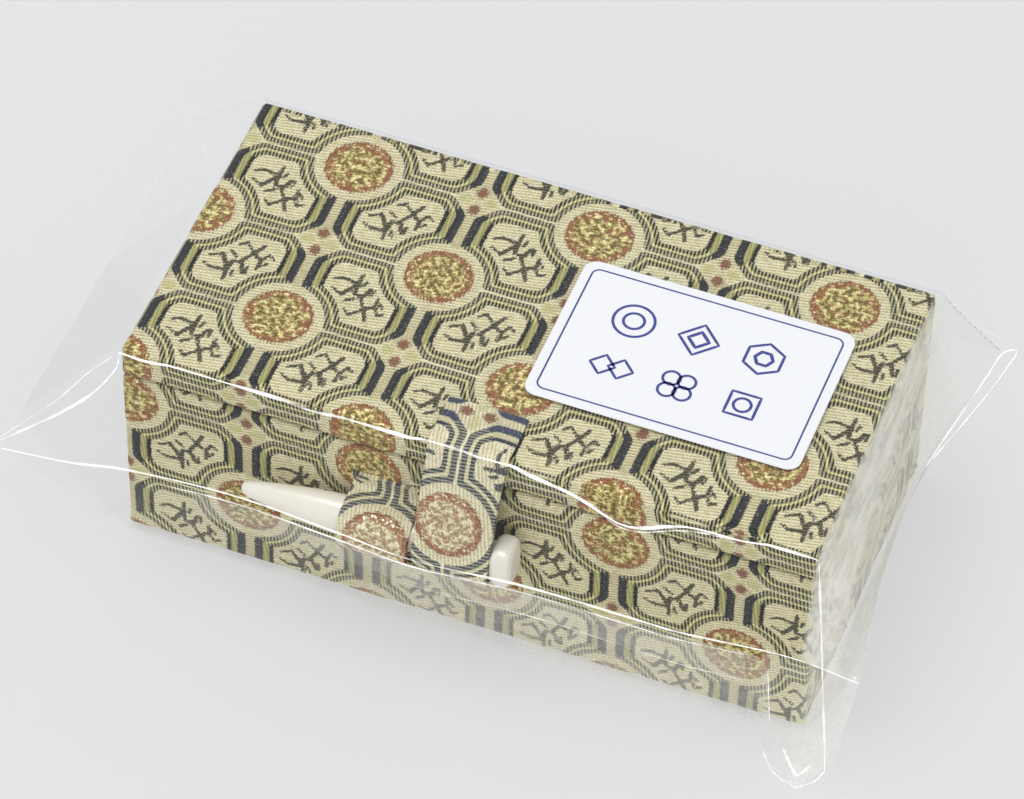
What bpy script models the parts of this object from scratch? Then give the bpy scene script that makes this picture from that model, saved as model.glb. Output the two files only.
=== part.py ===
"""Boxed ink stick: a brocade-covered box with a bone peg clasp, in its clear film bag.

The box opens at a cloth hinge along the back. Its lid carries a cloth strap with a bone peg,
which slides through a cloth loop on the base. A padded satin bed holds the ink stick.

Frame: metres, +Z up, +X to the right along the long side, -Y towards the clasp.
The origin is the centre of the box's footprint, at the height of the film it rests on.
"""

import math

import bmesh
import bpy
from mathutils import Vector

MM = 0.001

# Driving dimensions of the box, over its brocade.
LENGTH = 100.0 * MM
DEPTH = 50.8 * MM
HEIGHT = 36.5 * MM
LID_HEIGHT = 5.3 * MM
PARTING_GAP = 0.3 * MM

# Materials the box is built from.
BOARD = 2.0 * MM
CLOTH = 0.4 * MM
GLUE = 0.1 * MM
PAPER = 0.2 * MM
SATIN = 0.3 * MM
TURN_IN = 6.0 * MM

# Ink stick and its bed.
STICK_LENGTH = 78.0 * MM
STICK_DEPTH = 21.0 * MM
STICK_HEIGHT = 11.0 * MM
STICK_BEVEL = 1.2 * MM
STICK_CLEARANCE = 0.5 * MM
BED_TOP = 26.0 * MM
WELL_DEPTH = 8.5 * MM
WELL_FLANGE = 0.8 * MM
LID_PAD = 1.8 * MM

# Peg, strap and loop of the clasp.
PEG_HEIGHT = 20.2 * MM
PEG_STANDOFF = 3.8 * MM
PEG_TIP_X = -31.0 * MM
PEG_NECK_END_X = 6.5 * MM
PEG_HEAD_END_X = 10.4 * MM
PEG_HALF_Y = 2.4 * MM
PEG_HALF_Z = 3.0 * MM
PEG_HEAD_HALF_Y = 2.7 * MM
PEG_HEAD_HALF_Z = 3.8 * MM
STRAP_X = 0.5 * MM
STRAP_WIDTH = 11.4 * MM
STRAP_ON_LID = 7.9 * MM
LOOP_X = -10.8 * MM
LOOP_WIDTH = 10.2 * MM
BAND = 0.6 * MM
SLEEVE_RADIUS = 2.7 * MM
LOOP_HALF_Y = 2.9 * MM
LOOP_HALF_Z = 3.5 * MM
LOOP_FOOT = 2.2 * MM

# Film bag: the seams and the back fold stand out at about half the box's height.
FILM = 0.2 * MM
FILM_GAP = 0.3 * MM
SEAM_HEIGHT = 17.0 * MM
SEAM_LEFT_X = -66.0 * MM
SEAM_RIGHT_X = 58.0 * MM
FOLD_BACK_Y = 36.0 * MM
BULGE_Y = -33.8 * MM
BULGE_HEIGHT = 23.0 * MM
MOUTH_Y = -35.4 * MM
MOUTH_HEIGHT = 16.0 * MM
FLAP_LENGTH = 92.0 * MM
FLAP_TILT = math.radians(28.0)
FLAP_REACH = 16.6 * MM
FLAP_CORNER = 4.0 * MM
ADHESIVE_DEPTH = 8.0 * MM

# Label on top of the bag.
LABEL_X = 23.0 * MM
LABEL_Y = 0.2 * MM
LABEL_LENGTH = 39.4 * MM
LABEL_DEPTH = 26.4 * MM
LABEL_CORNER = 1.9 * MM
LABEL_THICKNESS = 0.15 * MM

# Heights and faces that follow from the dimensions above.
BOX_LOW = FILM + 0.2 * MM
BOX_TOP = BOX_LOW + HEIGHT
PARTING = BOX_TOP - LID_HEIGHT
BASE_TOP = PARTING - PARTING_GAP / 2
LID_LOW = PARTING + PARTING_GAP / 2
HALF_X = LENGTH / 2
HALF_Y = DEPTH / 2
BOARD_X = HALF_X - CLOTH - GLUE
BOARD_Y = HALF_Y - CLOTH - GLUE
INNER_X = BOARD_X - BOARD - GLUE
INNER_Y = BOARD_Y - BOARD - GLUE
FLOOR_LOW = BOX_LOW + PAPER + GLUE + CLOTH + GLUE
FLOOR_TOP = FLOOR_LOW + BOARD
LID_BOARD_TOP = BOX_TOP - CLOTH - GLUE
LID_BOARD_LOW = LID_BOARD_TOP - BOARD
PEG_Y = -HALF_Y - PEG_STANDOFF
STICK_LOW = BED_TOP - WELL_DEPTH + STICK_CLEARANCE

ARC_STEPS = 8


def clear_scene():
    for obj in list(bpy.data.objects):
        bpy.data.objects.remove(obj, do_unlink=True)


def new_collection(name):
    collection = bpy.data.collections.new(name)
    bpy.context.scene.collection.children.link(collection)
    return collection


def material(name, colour, roughness, metallic=0.0, alpha=1.0):
    mat = bpy.data.materials.new(name)
    mat.use_nodes = True
    shader = mat.node_tree.nodes["Principled BSDF"]
    shader.inputs["Base Color"].default_value = (*colour, 1.0)
    shader.inputs["Roughness"].default_value = roughness
    shader.inputs["Metallic"].default_value = metallic
    shader.inputs["Alpha"].default_value = alpha
    mat.diffuse_color = (*colour, alpha)
    return mat


def add(name, data, mat, collection, parent, location=(0, 0, 0)):
    """Link an object whose location is given in the part's frame, under an unrotated parent."""
    obj = bpy.data.objects.new(name, data)
    data.materials.append(mat)
    collection.objects.link(obj)
    obj.parent = parent
    obj.location = Vector(location) - parent.location
    return obj


def pivot(name, location, collection, parent=None):
    """An empty on a joint's axis, placed in the part's frame, for the pieces that move with it."""
    empty = bpy.data.objects.new(name, None)
    empty.empty_display_size = 5.0 * MM
    collection.objects.link(empty)
    empty.location = location
    if parent is not None:
        empty.parent = parent
        empty.matrix_parent_inverse = parent.matrix_basis.inverted()
    return empty


def box_mesh(name, size):
    mesh = bpy.data.meshes.new(name)
    bm = bmesh.new()
    bmesh.ops.create_cube(bm, size=1.0)
    bmesh.ops.scale(bm, vec=size, verts=bm.verts)
    bm.to_mesh(mesh)
    bm.free()
    return mesh


def block(name, low, high, mat, collection, parent, bevel=0.0, segments=2):
    """A rectangular solid between two corners, with optional rounded edges."""
    low, high = Vector(low), Vector(high)
    obj = add(name, box_mesh(name, high - low), mat, collection, parent, (low + high) / 2)
    if bevel:
        rounding = obj.modifiers.new("rounding", "BEVEL")
        rounding.width = bevel
        rounding.segments = segments
        rounding.limit_method = "ANGLE"
    return obj


def solidify(obj, thickness, offset):
    shell = obj.modifiers.new("sheet", "SOLIDIFY")
    shell.thickness = thickness
    shell.offset = offset
    shell.use_even_offset = True
    return obj


def corner_ring(x_low, x_high, y_low, y_high, z):
    return [(x_low, y_low, z), (x_high, y_low, z), (x_high, y_high, z), (x_low, y_high, z)]


def flat_outline(name, loops, thickness, mat, collection, parent, location, rotation=(0, 0, 0)):
    """A sheet or bar cut to a flat outline; loops after the first are holes."""
    curve = bpy.data.curves.new(name, "CURVE")
    curve.dimensions = "2D"
    curve.fill_mode = "BOTH"
    curve.extrude = thickness / 2
    for points in loops:
        spline = curve.splines.new("POLY")
        spline.points.add(len(points) - 1)
        for point, (u, v) in zip(spline.points, points):
            point.co = (u, v, 0, 1)
        spline.use_cyclic_u = True
    obj = add(name, curve, mat, collection, parent, location)
    obj.rotation_euler = rotation
    return obj


def arc(centre, radius, start, end, steps=ARC_STEPS, stretch=1.0):
    """Points on an arc from one angle to another, in radians; stretch makes it an oval."""
    turn = (end - start) / steps
    angles = [start + turn * i for i in range(steps + 1)]
    high = radius * stretch
    return [(centre[0] + radius * math.cos(a), centre[1] + high * math.sin(a)) for a in angles]


def rounded_rectangle(length, depth, radius, rounded_low=True):
    """Outline centred on the origin; the two low corners may stay square."""
    x, y = length / 2, depth / 2
    right, left = x - radius, radius - x
    points = arc((right, y - radius), radius, 0, math.pi / 2)
    points += arc((left, y - radius), radius, math.pi / 2, math.pi)
    if rounded_low:
        points += arc((left, radius - y), radius, math.pi, 1.5 * math.pi)
        points += arc((right, radius - y), radius, 1.5 * math.pi, 2 * math.pi)
    else:
        points += [(-x, -y), (x, -y)]
    return points


# Base


def base_boards(mat, collection, root):
    """Floor board with four wall boards standing round its edge on the turned-in cloth."""
    floor = (-BOARD_X, -BOARD_Y, FLOOR_LOW), (BOARD_X, BOARD_Y, FLOOR_TOP)
    block("base_floor_board", *floor, mat, collection, root)
    low, high = FLOOR_TOP + GLUE, BASE_TOP - CLOTH - GLUE
    inner_y = BOARD_Y - BOARD
    side_y = inner_y - GLUE
    walls = {
        "base_front_board": ((-BOARD_X, -BOARD_Y), (BOARD_X, -inner_y)),
        "base_back_board": ((-BOARD_X, inner_y), (BOARD_X, BOARD_Y)),
        "base_left_board": ((-BOARD_X, -side_y), (BOARD - BOARD_X, side_y)),
        "base_right_board": ((BOARD_X - BOARD, -side_y), (BOARD_X, side_y)),
    }
    for name, (corner, opposite) in walls.items():
        block(name, (*corner, low), (*opposite, high), mat, collection, root)


def base_brocade(mat, collection, root):
    """Cloth round the front and sides, turned in under the floor; the back has its own piece."""
    bm = bmesh.new()
    low = BOX_LOW + PAPER + GLUE
    back = HALF_Y - CLOTH - GLUE
    rows = [
        [(HALF_X, back, BASE_TOP), (HALF_X, -HALF_Y, BASE_TOP)],
        [(HALF_X, back, low), (HALF_X, -HALF_Y, low)],
        [(HALF_X - TURN_IN, back, low), (HALF_X - TURN_IN, TURN_IN - HALF_Y, low)],
    ]
    strips = [right + [(-x, y, z) for x, y, z in reversed(right)] for right in rows]
    verts = [[bm.verts.new(point) for point in strip] for strip in strips]
    for upper, lower in zip(verts, verts[1:]):
        for i in range(len(upper) - 1):
            bm.faces.new((upper[i], lower[i], lower[i + 1], upper[i + 1]))
    mesh = bpy.data.meshes.new("base_brocade")
    bmesh.ops.recalc_face_normals(bm, faces=bm.faces)
    bm.to_mesh(mesh)
    bm.free()
    return solidify(add("base_brocade", mesh, mat, collection, root), CLOTH, -1)


def base_inside(satin, foam, collection, root):
    """Satin round the inner walls, the foam bed with its well, and the satin over the bed."""
    lining = bpy.data.meshes.new("base_lining")
    bm = bmesh.new()
    for z in (FLOOR_TOP + GLUE, BASE_TOP - GLUE):
        for corner in corner_ring(-INNER_X, INNER_X, -INNER_Y, INNER_Y, z):
            bm.verts.new(corner)
    bm.verts.ensure_lookup_table()
    for i in range(4):
        j = (i + 1) % 4
        bm.faces.new((bm.verts[i], bm.verts[j], bm.verts[j + 4], bm.verts[i + 4]))
    bm.to_mesh(lining)
    bm.free()
    solidify(add("base_lining", lining, satin, collection, root), SATIN, -1)

    bed_x, bed_y = INNER_X - SATIN - FILM_GAP, INNER_Y - SATIN - FILM_GAP
    well_x = STICK_LENGTH / 2 + STICK_CLEARANCE
    well_y = STICK_DEPTH / 2 + STICK_CLEARANCE
    foam_top = BED_TOP - SATIN - GLUE
    hole_x, hole_y = well_x + SATIN + GLUE, well_y + SATIN + GLUE
    tray_low = BED_TOP - WELL_DEPTH
    hole_low = tray_low - SATIN - GLUE
    foam_rings = [
        corner_ring(-hole_x, hole_x, -hole_y, hole_y, hole_low),
        corner_ring(-hole_x, hole_x, -hole_y, hole_y, foam_top),
        corner_ring(-bed_x, bed_x, -bed_y, bed_y, foam_top),
        corner_ring(-bed_x, bed_x, -bed_y, bed_y, FLOOR_TOP + GLUE),
    ]
    ring_solid("bed_foam", foam_rings, foam, collection, root)

    under_x, under_y = well_x + SATIN, well_y + SATIN
    satin_rings = [
        corner_ring(-well_x, well_x, -well_y, well_y, tray_low),
        corner_ring(-well_x, well_x, -well_y, well_y, BED_TOP),
        corner_ring(-bed_x, bed_x, -bed_y, bed_y, BED_TOP),
        corner_ring(-bed_x, bed_x, -bed_y, bed_y, BED_TOP - SATIN),
        corner_ring(-under_x, under_x, -under_y, under_y, BED_TOP - SATIN),
        corner_ring(-under_x, under_x, -under_y, under_y, tray_low - SATIN),
    ]
    ring_solid("bed_satin", satin_rings, satin, collection, root)


def ring_solid(name, levels, mat, collection, parent):
    """A closed solid from successive four-cornered rings, with its two end rings filled."""
    bm = bmesh.new()
    rings = [[bm.verts.new(point) for point in level] for level in levels]
    for near, far in zip(rings, rings[1:]):
        for i in range(4):
            j = (i + 1) % 4
            bm.faces.new((near[i], near[j], far[j], far[i]))
    bm.faces.new(rings[0])
    bm.faces.new(rings[-1])
    bmesh.ops.recalc_face_normals(bm, faces=bm.faces)
    mesh = bpy.data.meshes.new(name)
    bm.to_mesh(mesh)
    bm.free()
    return add(name, mesh, mat, collection, parent)


def underside_paper(mat, collection, root):
    low = (1.0 * MM - HALF_X, 1.0 * MM - HALF_Y, BOX_LOW)
    high = (HALF_X - 1.0 * MM, HALF_Y - 1.0 * MM, BOX_LOW + PAPER)
    block("underside_paper", low, high, mat, collection, root)


def spine_brocade(mat, collection, root):
    """The cloth down the back, in one piece from lid to base, which is also the hinge."""
    low = (-HALF_X, HALF_Y - CLOTH, BOX_LOW + PAPER + GLUE)
    high = (HALF_X, HALF_Y, BOX_TOP)
    block("spine_brocade", low, high, mat, collection, root)


def inner_hinge(mat, collection, root):
    """A satin strip inside the back corner, from the base's lining to the lid's."""
    y = INNER_Y - SATIN - GLUE
    low = (-INNER_X + 2.0 * MM, y - SATIN, BED_TOP + 1.0 * MM)
    high = (INNER_X - 2.0 * MM, y, LID_BOARD_LOW - LID_PAD - 2 * FILM_GAP)
    block("inner_hinge_satin", low, high, mat, collection, root)


# Lid


def lid_parts(board, brocade, satin, collection, lid):
    """Top board with four rim strips below it, cloth over them and satin inside."""
    top = (-BOARD_X, -BOARD_Y, LID_BOARD_LOW), (BOARD_X, BOARD_Y, LID_BOARD_TOP)
    block("lid_top_board", *top, board, collection, lid)
    low, high = LID_LOW + CLOTH + GLUE, LID_BOARD_LOW - GLUE
    inner_y = BOARD_Y - BOARD
    side_y = inner_y - GLUE
    rims = {
        "lid_front_rim": ((-BOARD_X, -BOARD_Y), (BOARD_X, -inner_y)),
        "lid_back_rim": ((-BOARD_X, inner_y), (BOARD_X, BOARD_Y)),
        "lid_left_rim": ((-BOARD_X, -side_y), (BOARD - BOARD_X, side_y)),
        "lid_right_rim": ((BOARD_X - BOARD, -side_y), (BOARD_X, side_y)),
    }
    for name, (corner, opposite) in rims.items():
        block(name, (*corner, low), (*opposite, high), board, collection, lid)

    mesh = bpy.data.meshes.new("lid_brocade")
    bm = bmesh.new()
    back = HALF_Y - CLOTH - GLUE
    front_low = [(HALF_X, back), (HALF_X, -HALF_Y), (-HALF_X, -HALF_Y), (-HALF_X, back)]
    upper = [bm.verts.new((x, y, BOX_TOP)) for x, y in front_low]
    lower = [bm.verts.new((x, y, LID_LOW)) for x, y in front_low]
    bm.faces.new(reversed(upper))
    for i in range(3):
        bm.faces.new((upper[i], upper[i + 1], lower[i + 1], lower[i]))
    bm.to_mesh(mesh)
    bm.free()
    solidify(add("lid_brocade", mesh, brocade, collection, lid), CLOTH, -1)

    pad_x, pad_y = INNER_X - SATIN - FILM_GAP, INNER_Y - SATIN - FILM_GAP
    pad_top = LID_BOARD_LOW - GLUE
    pad = (-pad_x, -pad_y, pad_top - LID_PAD), (pad_x, pad_y, pad_top)
    block("lid_pad", *pad, satin, collection, lid, bevel=0.6 * MM)


# Clasp


def strap(mat, collection, lid):
    """Cloth tab glued on the lid, led over its front edge and round the peg's neck.

    The outline is drawn in the Y-Z plane, and its thickness runs along X.
    """
    centre = (PEG_Y, PEG_HEIGHT)
    inner, outer = SLEEVE_RADIUS, SLEEVE_RADIUS + BAND
    lid_face = BOX_TOP + GLUE
    start_y = -HALF_Y + STRAP_ON_LID
    bend = (-HALF_Y - GLUE + 0.4 * MM, lid_face - 0.4 * MM)
    inner_bend, outer_bend = 0.4 * MM, 0.4 * MM + BAND
    # The free run leaves the bend at the angle that makes it tangent to the sleeve.
    dy, dz = centre[0] - bend[0], centre[1] - bend[1]
    distance = math.hypot(dy, dz)
    lean = math.atan2(dz, dy) - math.asin((inner - inner_bend) / distance) - math.pi / 2
    start = lean % (2 * math.pi)
    outside = [(start_y, lid_face + BAND)]
    outside += arc(bend, outer_bend, math.pi / 2, start, 5)
    inside = arc(bend, inner_bend, math.pi / 2, start, 5)
    meeting = start + 2 * math.pi - math.acos(inner / outer)
    sleeve = arc(centre, outer, start, meeting, 22)
    inside.reverse()
    outline = outside + sleeve + inside + [(start_y, lid_face)]
    hole = arc(centre, inner, 0, 2 * math.pi, 20)[:-1]
    turn = (math.pi / 2, 0, math.pi / 2)
    place = (STRAP_X, 0, 0)
    flat_outline("strap", [outline, hole], STRAP_WIDTH, mat, collection, lid, place, turn)


def base_loop(mat, collection, root):
    """Cloth band glued to the base's front, arched over the peg."""
    centre = (PEG_Y, PEG_HEIGHT)
    face = -HALF_Y - GLUE
    outer_y, outer_z = LOOP_HALF_Y + BAND, LOOP_HALF_Z + BAND
    top, low = 0.5 * math.pi, 1.5 * math.pi
    upper_foot = PEG_HEIGHT + LOOP_HALF_Z + LOOP_FOOT
    lower_foot = PEG_HEIGHT - LOOP_HALF_Z - LOOP_FOOT
    outline = [(face, upper_foot), (face - BAND, upper_foot)]
    outline += arc(centre, outer_y, top, low, 14, outer_z / outer_y)
    outline += [(face - BAND, lower_foot), (face, lower_foot)]
    outline += [(face, PEG_HEIGHT - LOOP_HALF_Z - BAND / 2)]
    outline += list(reversed(arc(centre, LOOP_HALF_Y, top, low, 14, LOOP_HALF_Z / LOOP_HALF_Y)))
    outline += [(face, PEG_HEIGHT + LOOP_HALF_Z + BAND / 2)]
    turn = (math.pi / 2, 0, math.pi / 2)
    place = (LOOP_X, 0, 0)
    flat_outline("base_loop", [outline], LOOP_WIDTH, mat, collection, root, place, turn)


def peg_section(half_y, half_z, squareness, count=20):
    """A rounded section; squareness 2 is an ellipse and larger values are boxier."""
    points = []
    for i in range(count):
        angle = 2 * math.pi * i / count
        c, s = math.cos(angle), math.sin(angle)
        y = half_y * math.copysign(abs(c) ** (2 / squareness), c)
        z = half_z * math.copysign(abs(s) ** (2 / squareness), s)
        points.append((y, z))
    return points


def peg(mat, collection, toggle):
    """Bone peg: a long taper, a round neck inside the strap and a square head."""
    neck, head = PEG_NECK_END_X, PEG_HEAD_END_X
    chamfer = 0.7 * MM
    # Stations along the peg: x, share of the full half depth and half height, squareness.
    taper = [
        (PEG_TIP_X, 0.2, 2.0),
        (PEG_TIP_X + 0.5 * MM, 0.37, 2.0),
        (PEG_TIP_X + 3.0 * MM, 0.54, 2.1),
        (PEG_TIP_X + 8.0 * MM, 0.8, 2.2),
        (PEG_TIP_X + 14.0 * MM, 1.0, 2.2),
        (PEG_TIP_X + 18.0 * MM, 1.0, 2.2),
        (STRAP_X - STRAP_WIDTH / 2, 0.85, 2.2),
        (neck, 0.8, 2.2),
    ]
    square_head = [
        (neck + 0.01 * MM, 0.82, 3.6),
        (neck + chamfer, 0.97, 4.0),
        (head - chamfer, 1.0, 4.0),
        (head, 0.8, 3.6),
    ]
    bm = bmesh.new()
    rings = []
    for stations, half_y, half_z in (
        (taper, PEG_HALF_Y, PEG_HALF_Z),
        (square_head, PEG_HEAD_HALF_Y, PEG_HEAD_HALF_Z),
    ):
        for x, share, squareness in stations:
            section = peg_section(half_y * share, half_z * share, squareness)
            rings.append([bm.verts.new((x, y, z)) for y, z in section])
    for near, far in zip(rings, rings[1:]):
        for i in range(len(near)):
            j = (i + 1) % len(near)
            bm.faces.new((near[i], near[j], far[j], far[i]))
    bm.faces.new(rings[0])
    bm.faces.new(rings[-1])
    bmesh.ops.recalc_face_normals(bm, faces=bm.faces)
    mesh = bpy.data.meshes.new("toggle_peg")
    bm.to_mesh(mesh)
    bm.free()
    mesh.shade_smooth()
    mesh.set_sharp_from_angle(angle=math.radians(35))
    add("toggle_peg", mesh, mat, collection, toggle, (0, PEG_Y, PEG_HEIGHT))


# Ink stick


def ink_stick(mat, collection, holder):
    low = (-STICK_LENGTH / 2, -STICK_DEPTH / 2, STICK_LOW)
    high = (STICK_LENGTH / 2, STICK_DEPTH / 2, STICK_LOW + STICK_HEIGHT)
    block("ink_stick", low, high, mat, collection, holder, bevel=STICK_BEVEL, segments=3)


# Film bag


def film_bag(mat, collection, bag):
    """Flat pouch pulled over the box: seams left and right, a fold at the back.

    Its mouth is along the lower front, under the upper sheet's edge.
    """
    top = BOX_TOP + GLUE + BAND + FILM_GAP + FILM
    gap_x, gap_y = HALF_X + 2 * FILM_GAP, HALF_Y + 2 * FILM_GAP
    bm = bmesh.new()
    roof = [bm.verts.new(p) for p in corner_ring(-gap_x, gap_x, -gap_y, gap_y, top)]
    floor = [bm.verts.new(p) for p in corner_ring(-gap_x, gap_x, -gap_y, gap_y, 0)]
    bulge_left = bm.verts.new((-gap_x, BULGE_Y, BULGE_HEIGHT))
    bulge_right = bm.verts.new((gap_x, BULGE_Y, BULGE_HEIGHT))
    mouth = [bm.verts.new((x, MOUTH_Y, MOUTH_HEIGHT)) for x in (-gap_x, gap_x)]
    seam_left = [bm.verts.new((SEAM_LEFT_X, y, SEAM_HEIGHT)) for y in (BULGE_Y, FOLD_BACK_Y)]
    seam_right = [bm.verts.new((SEAM_RIGHT_X, y, SEAM_HEIGHT)) for y in (BULGE_Y, FOLD_BACK_Y)]
    faces = [
        roof,
        list(reversed(floor)),
        [roof[1], roof[0], bulge_left, bulge_right],
        [bulge_right, bulge_left, mouth[0], mouth[1]],
        [roof[3], roof[2], seam_right[1], seam_left[1]],
        [seam_left[1], seam_right[1], floor[2], floor[3]],
        [roof[0], roof[3], seam_left[1], seam_left[0]],
        [seam_left[0], seam_left[1], floor[3], floor[0]],
        [roof[2], roof[1], seam_right[0], seam_right[1]],
        [seam_right[1], seam_right[0], floor[1], floor[2]],
        [roof[0], seam_left[0], bulge_left],
        [bulge_left, seam_left[0], mouth[0]],
        [mouth[0], seam_left[0], floor[0]],
        [roof[1], bulge_right, seam_right[0]],
        [bulge_right, mouth[1], seam_right[0]],
        [mouth[1], floor[1], seam_right[0]],
    ]
    for face in faces:
        bm.faces.new(face)
    bmesh.ops.recalc_face_normals(bm, faces=bm.faces)
    bmesh.ops.triangulate(bm, faces=bm.faces)
    highest = max(bm.faces, key=lambda face: face.calc_center_median().z)
    if highest.normal.z < 0:
        bmesh.ops.reverse_faces(bm, faces=bm.faces)
    mesh = bpy.data.meshes.new("film_bag")
    bm.to_mesh(mesh)
    bm.free()
    solidify(add("film_bag", mesh, mat, collection, bag), FILM, -1)


def film_flap(film, adhesive, collection, flap):
    """Tail of the lower sheet, folded up over the mouth, with adhesive along its free edge."""
    lean = (math.pi / 2 + FLAP_TILT, 0, 0)
    up = Vector((0, -math.sin(FLAP_TILT), math.cos(FLAP_TILT)))
    inward = Vector((0, math.cos(FLAP_TILT), math.sin(FLAP_TILT)))
    hinge = flap.location
    outline = rounded_rectangle(FLAP_LENGTH, FLAP_REACH, FLAP_CORNER, rounded_low=False)
    centre = hinge + up * (FLAP_REACH / 2 + FILM)
    flat_outline("film_flap", [outline], FILM, film, collection, flap, centre, lean)
    strip = rounded_rectangle(FLAP_LENGTH - 4 * FLAP_CORNER, ADHESIVE_DEPTH, 0.5 * MM)
    top = FLAP_REACH + FILM - ADHESIVE_DEPTH / 2 - 0.8 * MM
    place = hinge + up * top + inward * (FILM + GLUE)
    flat_outline("flap_adhesive", [strip], GLUE, adhesive, collection, flap, place, lean)


def label(mat, collection, bag):
    outline = rounded_rectangle(LABEL_LENGTH, LABEL_DEPTH, LABEL_CORNER)
    height = BOX_TOP + GLUE + BAND + FILM_GAP + FILM + GLUE + LABEL_THICKNESS / 2
    place = (LABEL_X, LABEL_Y, height)
    flat_outline("label", [outline], LABEL_THICKNESS, mat, collection, bag, place)


def build():
    clear_scene()
    parts = new_collection("boxed_ink_stick")
    board = material("grey_board", (0.45, 0.43, 0.40), 0.9)
    brocade = material("brocade", (0.60, 0.53, 0.31), 0.65)
    strap_cloth = material("strap_brocade", (0.40, 0.40, 0.32), 0.65)
    satin = material("lining_satin", (0.80, 0.66, 0.30), 0.45)
    foam = material("bed_foam", (0.90, 0.89, 0.84), 0.95)
    paper = material("underside_paper", (0.75, 0.68, 0.50), 0.85)
    bone = material("bone", (0.86, 0.82, 0.70), 0.35)
    ink = material("ink", (0.02, 0.02, 0.022), 0.4)
    film = material("clear_film", (0.95, 0.96, 0.97), 0.08, alpha=0.15)
    adhesive = material("adhesive", (0.93, 0.94, 0.95), 0.3, alpha=0.3)
    label_paper = material("label_paper", (0.95, 0.95, 0.96), 0.3)

    root = pivot("box", (0, 0, 0), parts)
    lid = pivot("lid_pivot", (0, HALF_Y, PARTING), parts, root)
    toggle = pivot("toggle_guide", (0, PEG_Y, PEG_HEIGHT), parts, lid)
    stick = pivot("stick_guide", (0, 0, STICK_LOW), parts, root)
    bag = pivot("bag_guide", (0, 0, 0), parts, root)
    flap = pivot("flap_pivot", (0, -HALF_Y - 4 * FILM_GAP, 2 * FILM), parts, bag)

    base_boards(board, parts, root)
    base_brocade(brocade, parts, root)
    spine_brocade(brocade, parts, root)
    underside_paper(paper, parts, root)
    base_inside(satin, foam, parts, root)
    inner_hinge(satin, parts, root)
    base_loop(strap_cloth, parts, root)
    lid_parts(board, brocade, satin, parts, lid)
    strap(strap_cloth, parts, lid)
    peg(bone, parts, toggle)
    ink_stick(ink, parts, stick)
    film_bag(film, parts, bag)
    film_flap(film, adhesive, parts, flap)
    label(label_paper, parts, bag)


build()
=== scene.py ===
"""Looks for the boxed ink stick: brocade box, bone peg clasp, satin inside, film bag and label."""

import math

import bpy
import numpy as np
from mathutils import Matrix, Vector


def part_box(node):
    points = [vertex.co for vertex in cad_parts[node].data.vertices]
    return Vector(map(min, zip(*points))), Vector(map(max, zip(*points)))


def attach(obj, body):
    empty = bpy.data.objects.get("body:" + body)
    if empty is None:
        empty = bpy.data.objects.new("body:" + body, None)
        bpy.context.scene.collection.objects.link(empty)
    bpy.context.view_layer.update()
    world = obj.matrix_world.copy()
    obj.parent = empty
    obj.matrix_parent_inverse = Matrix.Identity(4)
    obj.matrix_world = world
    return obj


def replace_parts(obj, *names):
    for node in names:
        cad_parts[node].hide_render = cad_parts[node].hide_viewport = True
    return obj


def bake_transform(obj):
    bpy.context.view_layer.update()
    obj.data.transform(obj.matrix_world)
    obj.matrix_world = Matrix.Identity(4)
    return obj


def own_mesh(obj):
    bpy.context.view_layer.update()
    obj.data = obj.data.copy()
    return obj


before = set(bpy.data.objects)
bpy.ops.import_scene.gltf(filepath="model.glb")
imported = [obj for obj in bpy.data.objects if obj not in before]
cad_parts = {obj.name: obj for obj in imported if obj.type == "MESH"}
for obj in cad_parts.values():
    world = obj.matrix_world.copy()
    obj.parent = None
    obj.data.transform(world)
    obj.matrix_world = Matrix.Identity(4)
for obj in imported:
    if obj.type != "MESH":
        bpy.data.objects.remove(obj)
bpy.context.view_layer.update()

MM = 0.001
TAU = 2 * math.pi


def corners(node):
    """Low and high corner of a CAD node's box, in millimetres."""
    return [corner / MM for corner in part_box(node)]


# Faces and heights of the box, in millimetres, from the frame.
LID_CORNERS, BASE_CORNERS = corners("lid_brocade"), corners("base_brocade")
HALF_X, TOP, LID_LOW = LID_CORNERS[1].x, LID_CORNERS[1].z, LID_CORNERS[0].z
HALF_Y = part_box("spine_brocade")[1].y / MM
BASE_LOW, BASE_TOP = BASE_CORNERS[0].z, BASE_CORNERS[1].z
HINGE_HEIGHT = (LID_LOW + BASE_TOP) / 2
PEG_LOW, PEG_HIGH = corners("toggle_peg")
PEG_Y, PEG_Z = (PEG_LOW.y + PEG_HIGH.y) / 2, (PEG_LOW.z + PEG_HIGH.z) / 2

# The woven pattern: a lattice of medallions and lozenges with a cell between each four.
LATTICE_X, LATTICE_Y = 17.9, 15.2
GAP_X, GAP_Y = 0.65, 0.22
LOZENGE, RING = 3.7, 6.3
THREAD, RIB = 0.52, 0.55
LID_PHASE, BASE_PHASE, SPINE_PHASE = (-14.7, 3.0), (-13.9, 27.3), (3.2, 26.9)
STRAP_PHASE, LOOP_PHASE = (19.6, -0.9), (10.4, 0.8)


# Arrays and meshes


def smooth_step(x, low, high):
    t = np.clip((x - low) / (high - low), 0, 1)
    return t * t * (3 - 2 * t)


def stacked(*parts):
    """Arrays side by side in a new last axis, after stretching them to one shape."""
    return np.stack(np.broadcast_arrays(*parts), axis=-1)


def unit(rows):
    return rows / np.linalg.norm(rows, axis=1, keepdims=True)


def ripple(x, y, seed, scale):
    """A smooth random surface of about unit height, from a few seeded waves."""
    rng = np.random.default_rng(seed)
    total = np.zeros(np.broadcast(x, y).shape)
    for _ in range(7):
        angle, phase = rng.uniform(0, TAU, 2)
        size = scale * rng.uniform(0.6, 1.8)
        total = total + np.sin(TAU * (x * math.cos(angle) + y * math.sin(angle)) / size + phase)
    return total / 3


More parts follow.
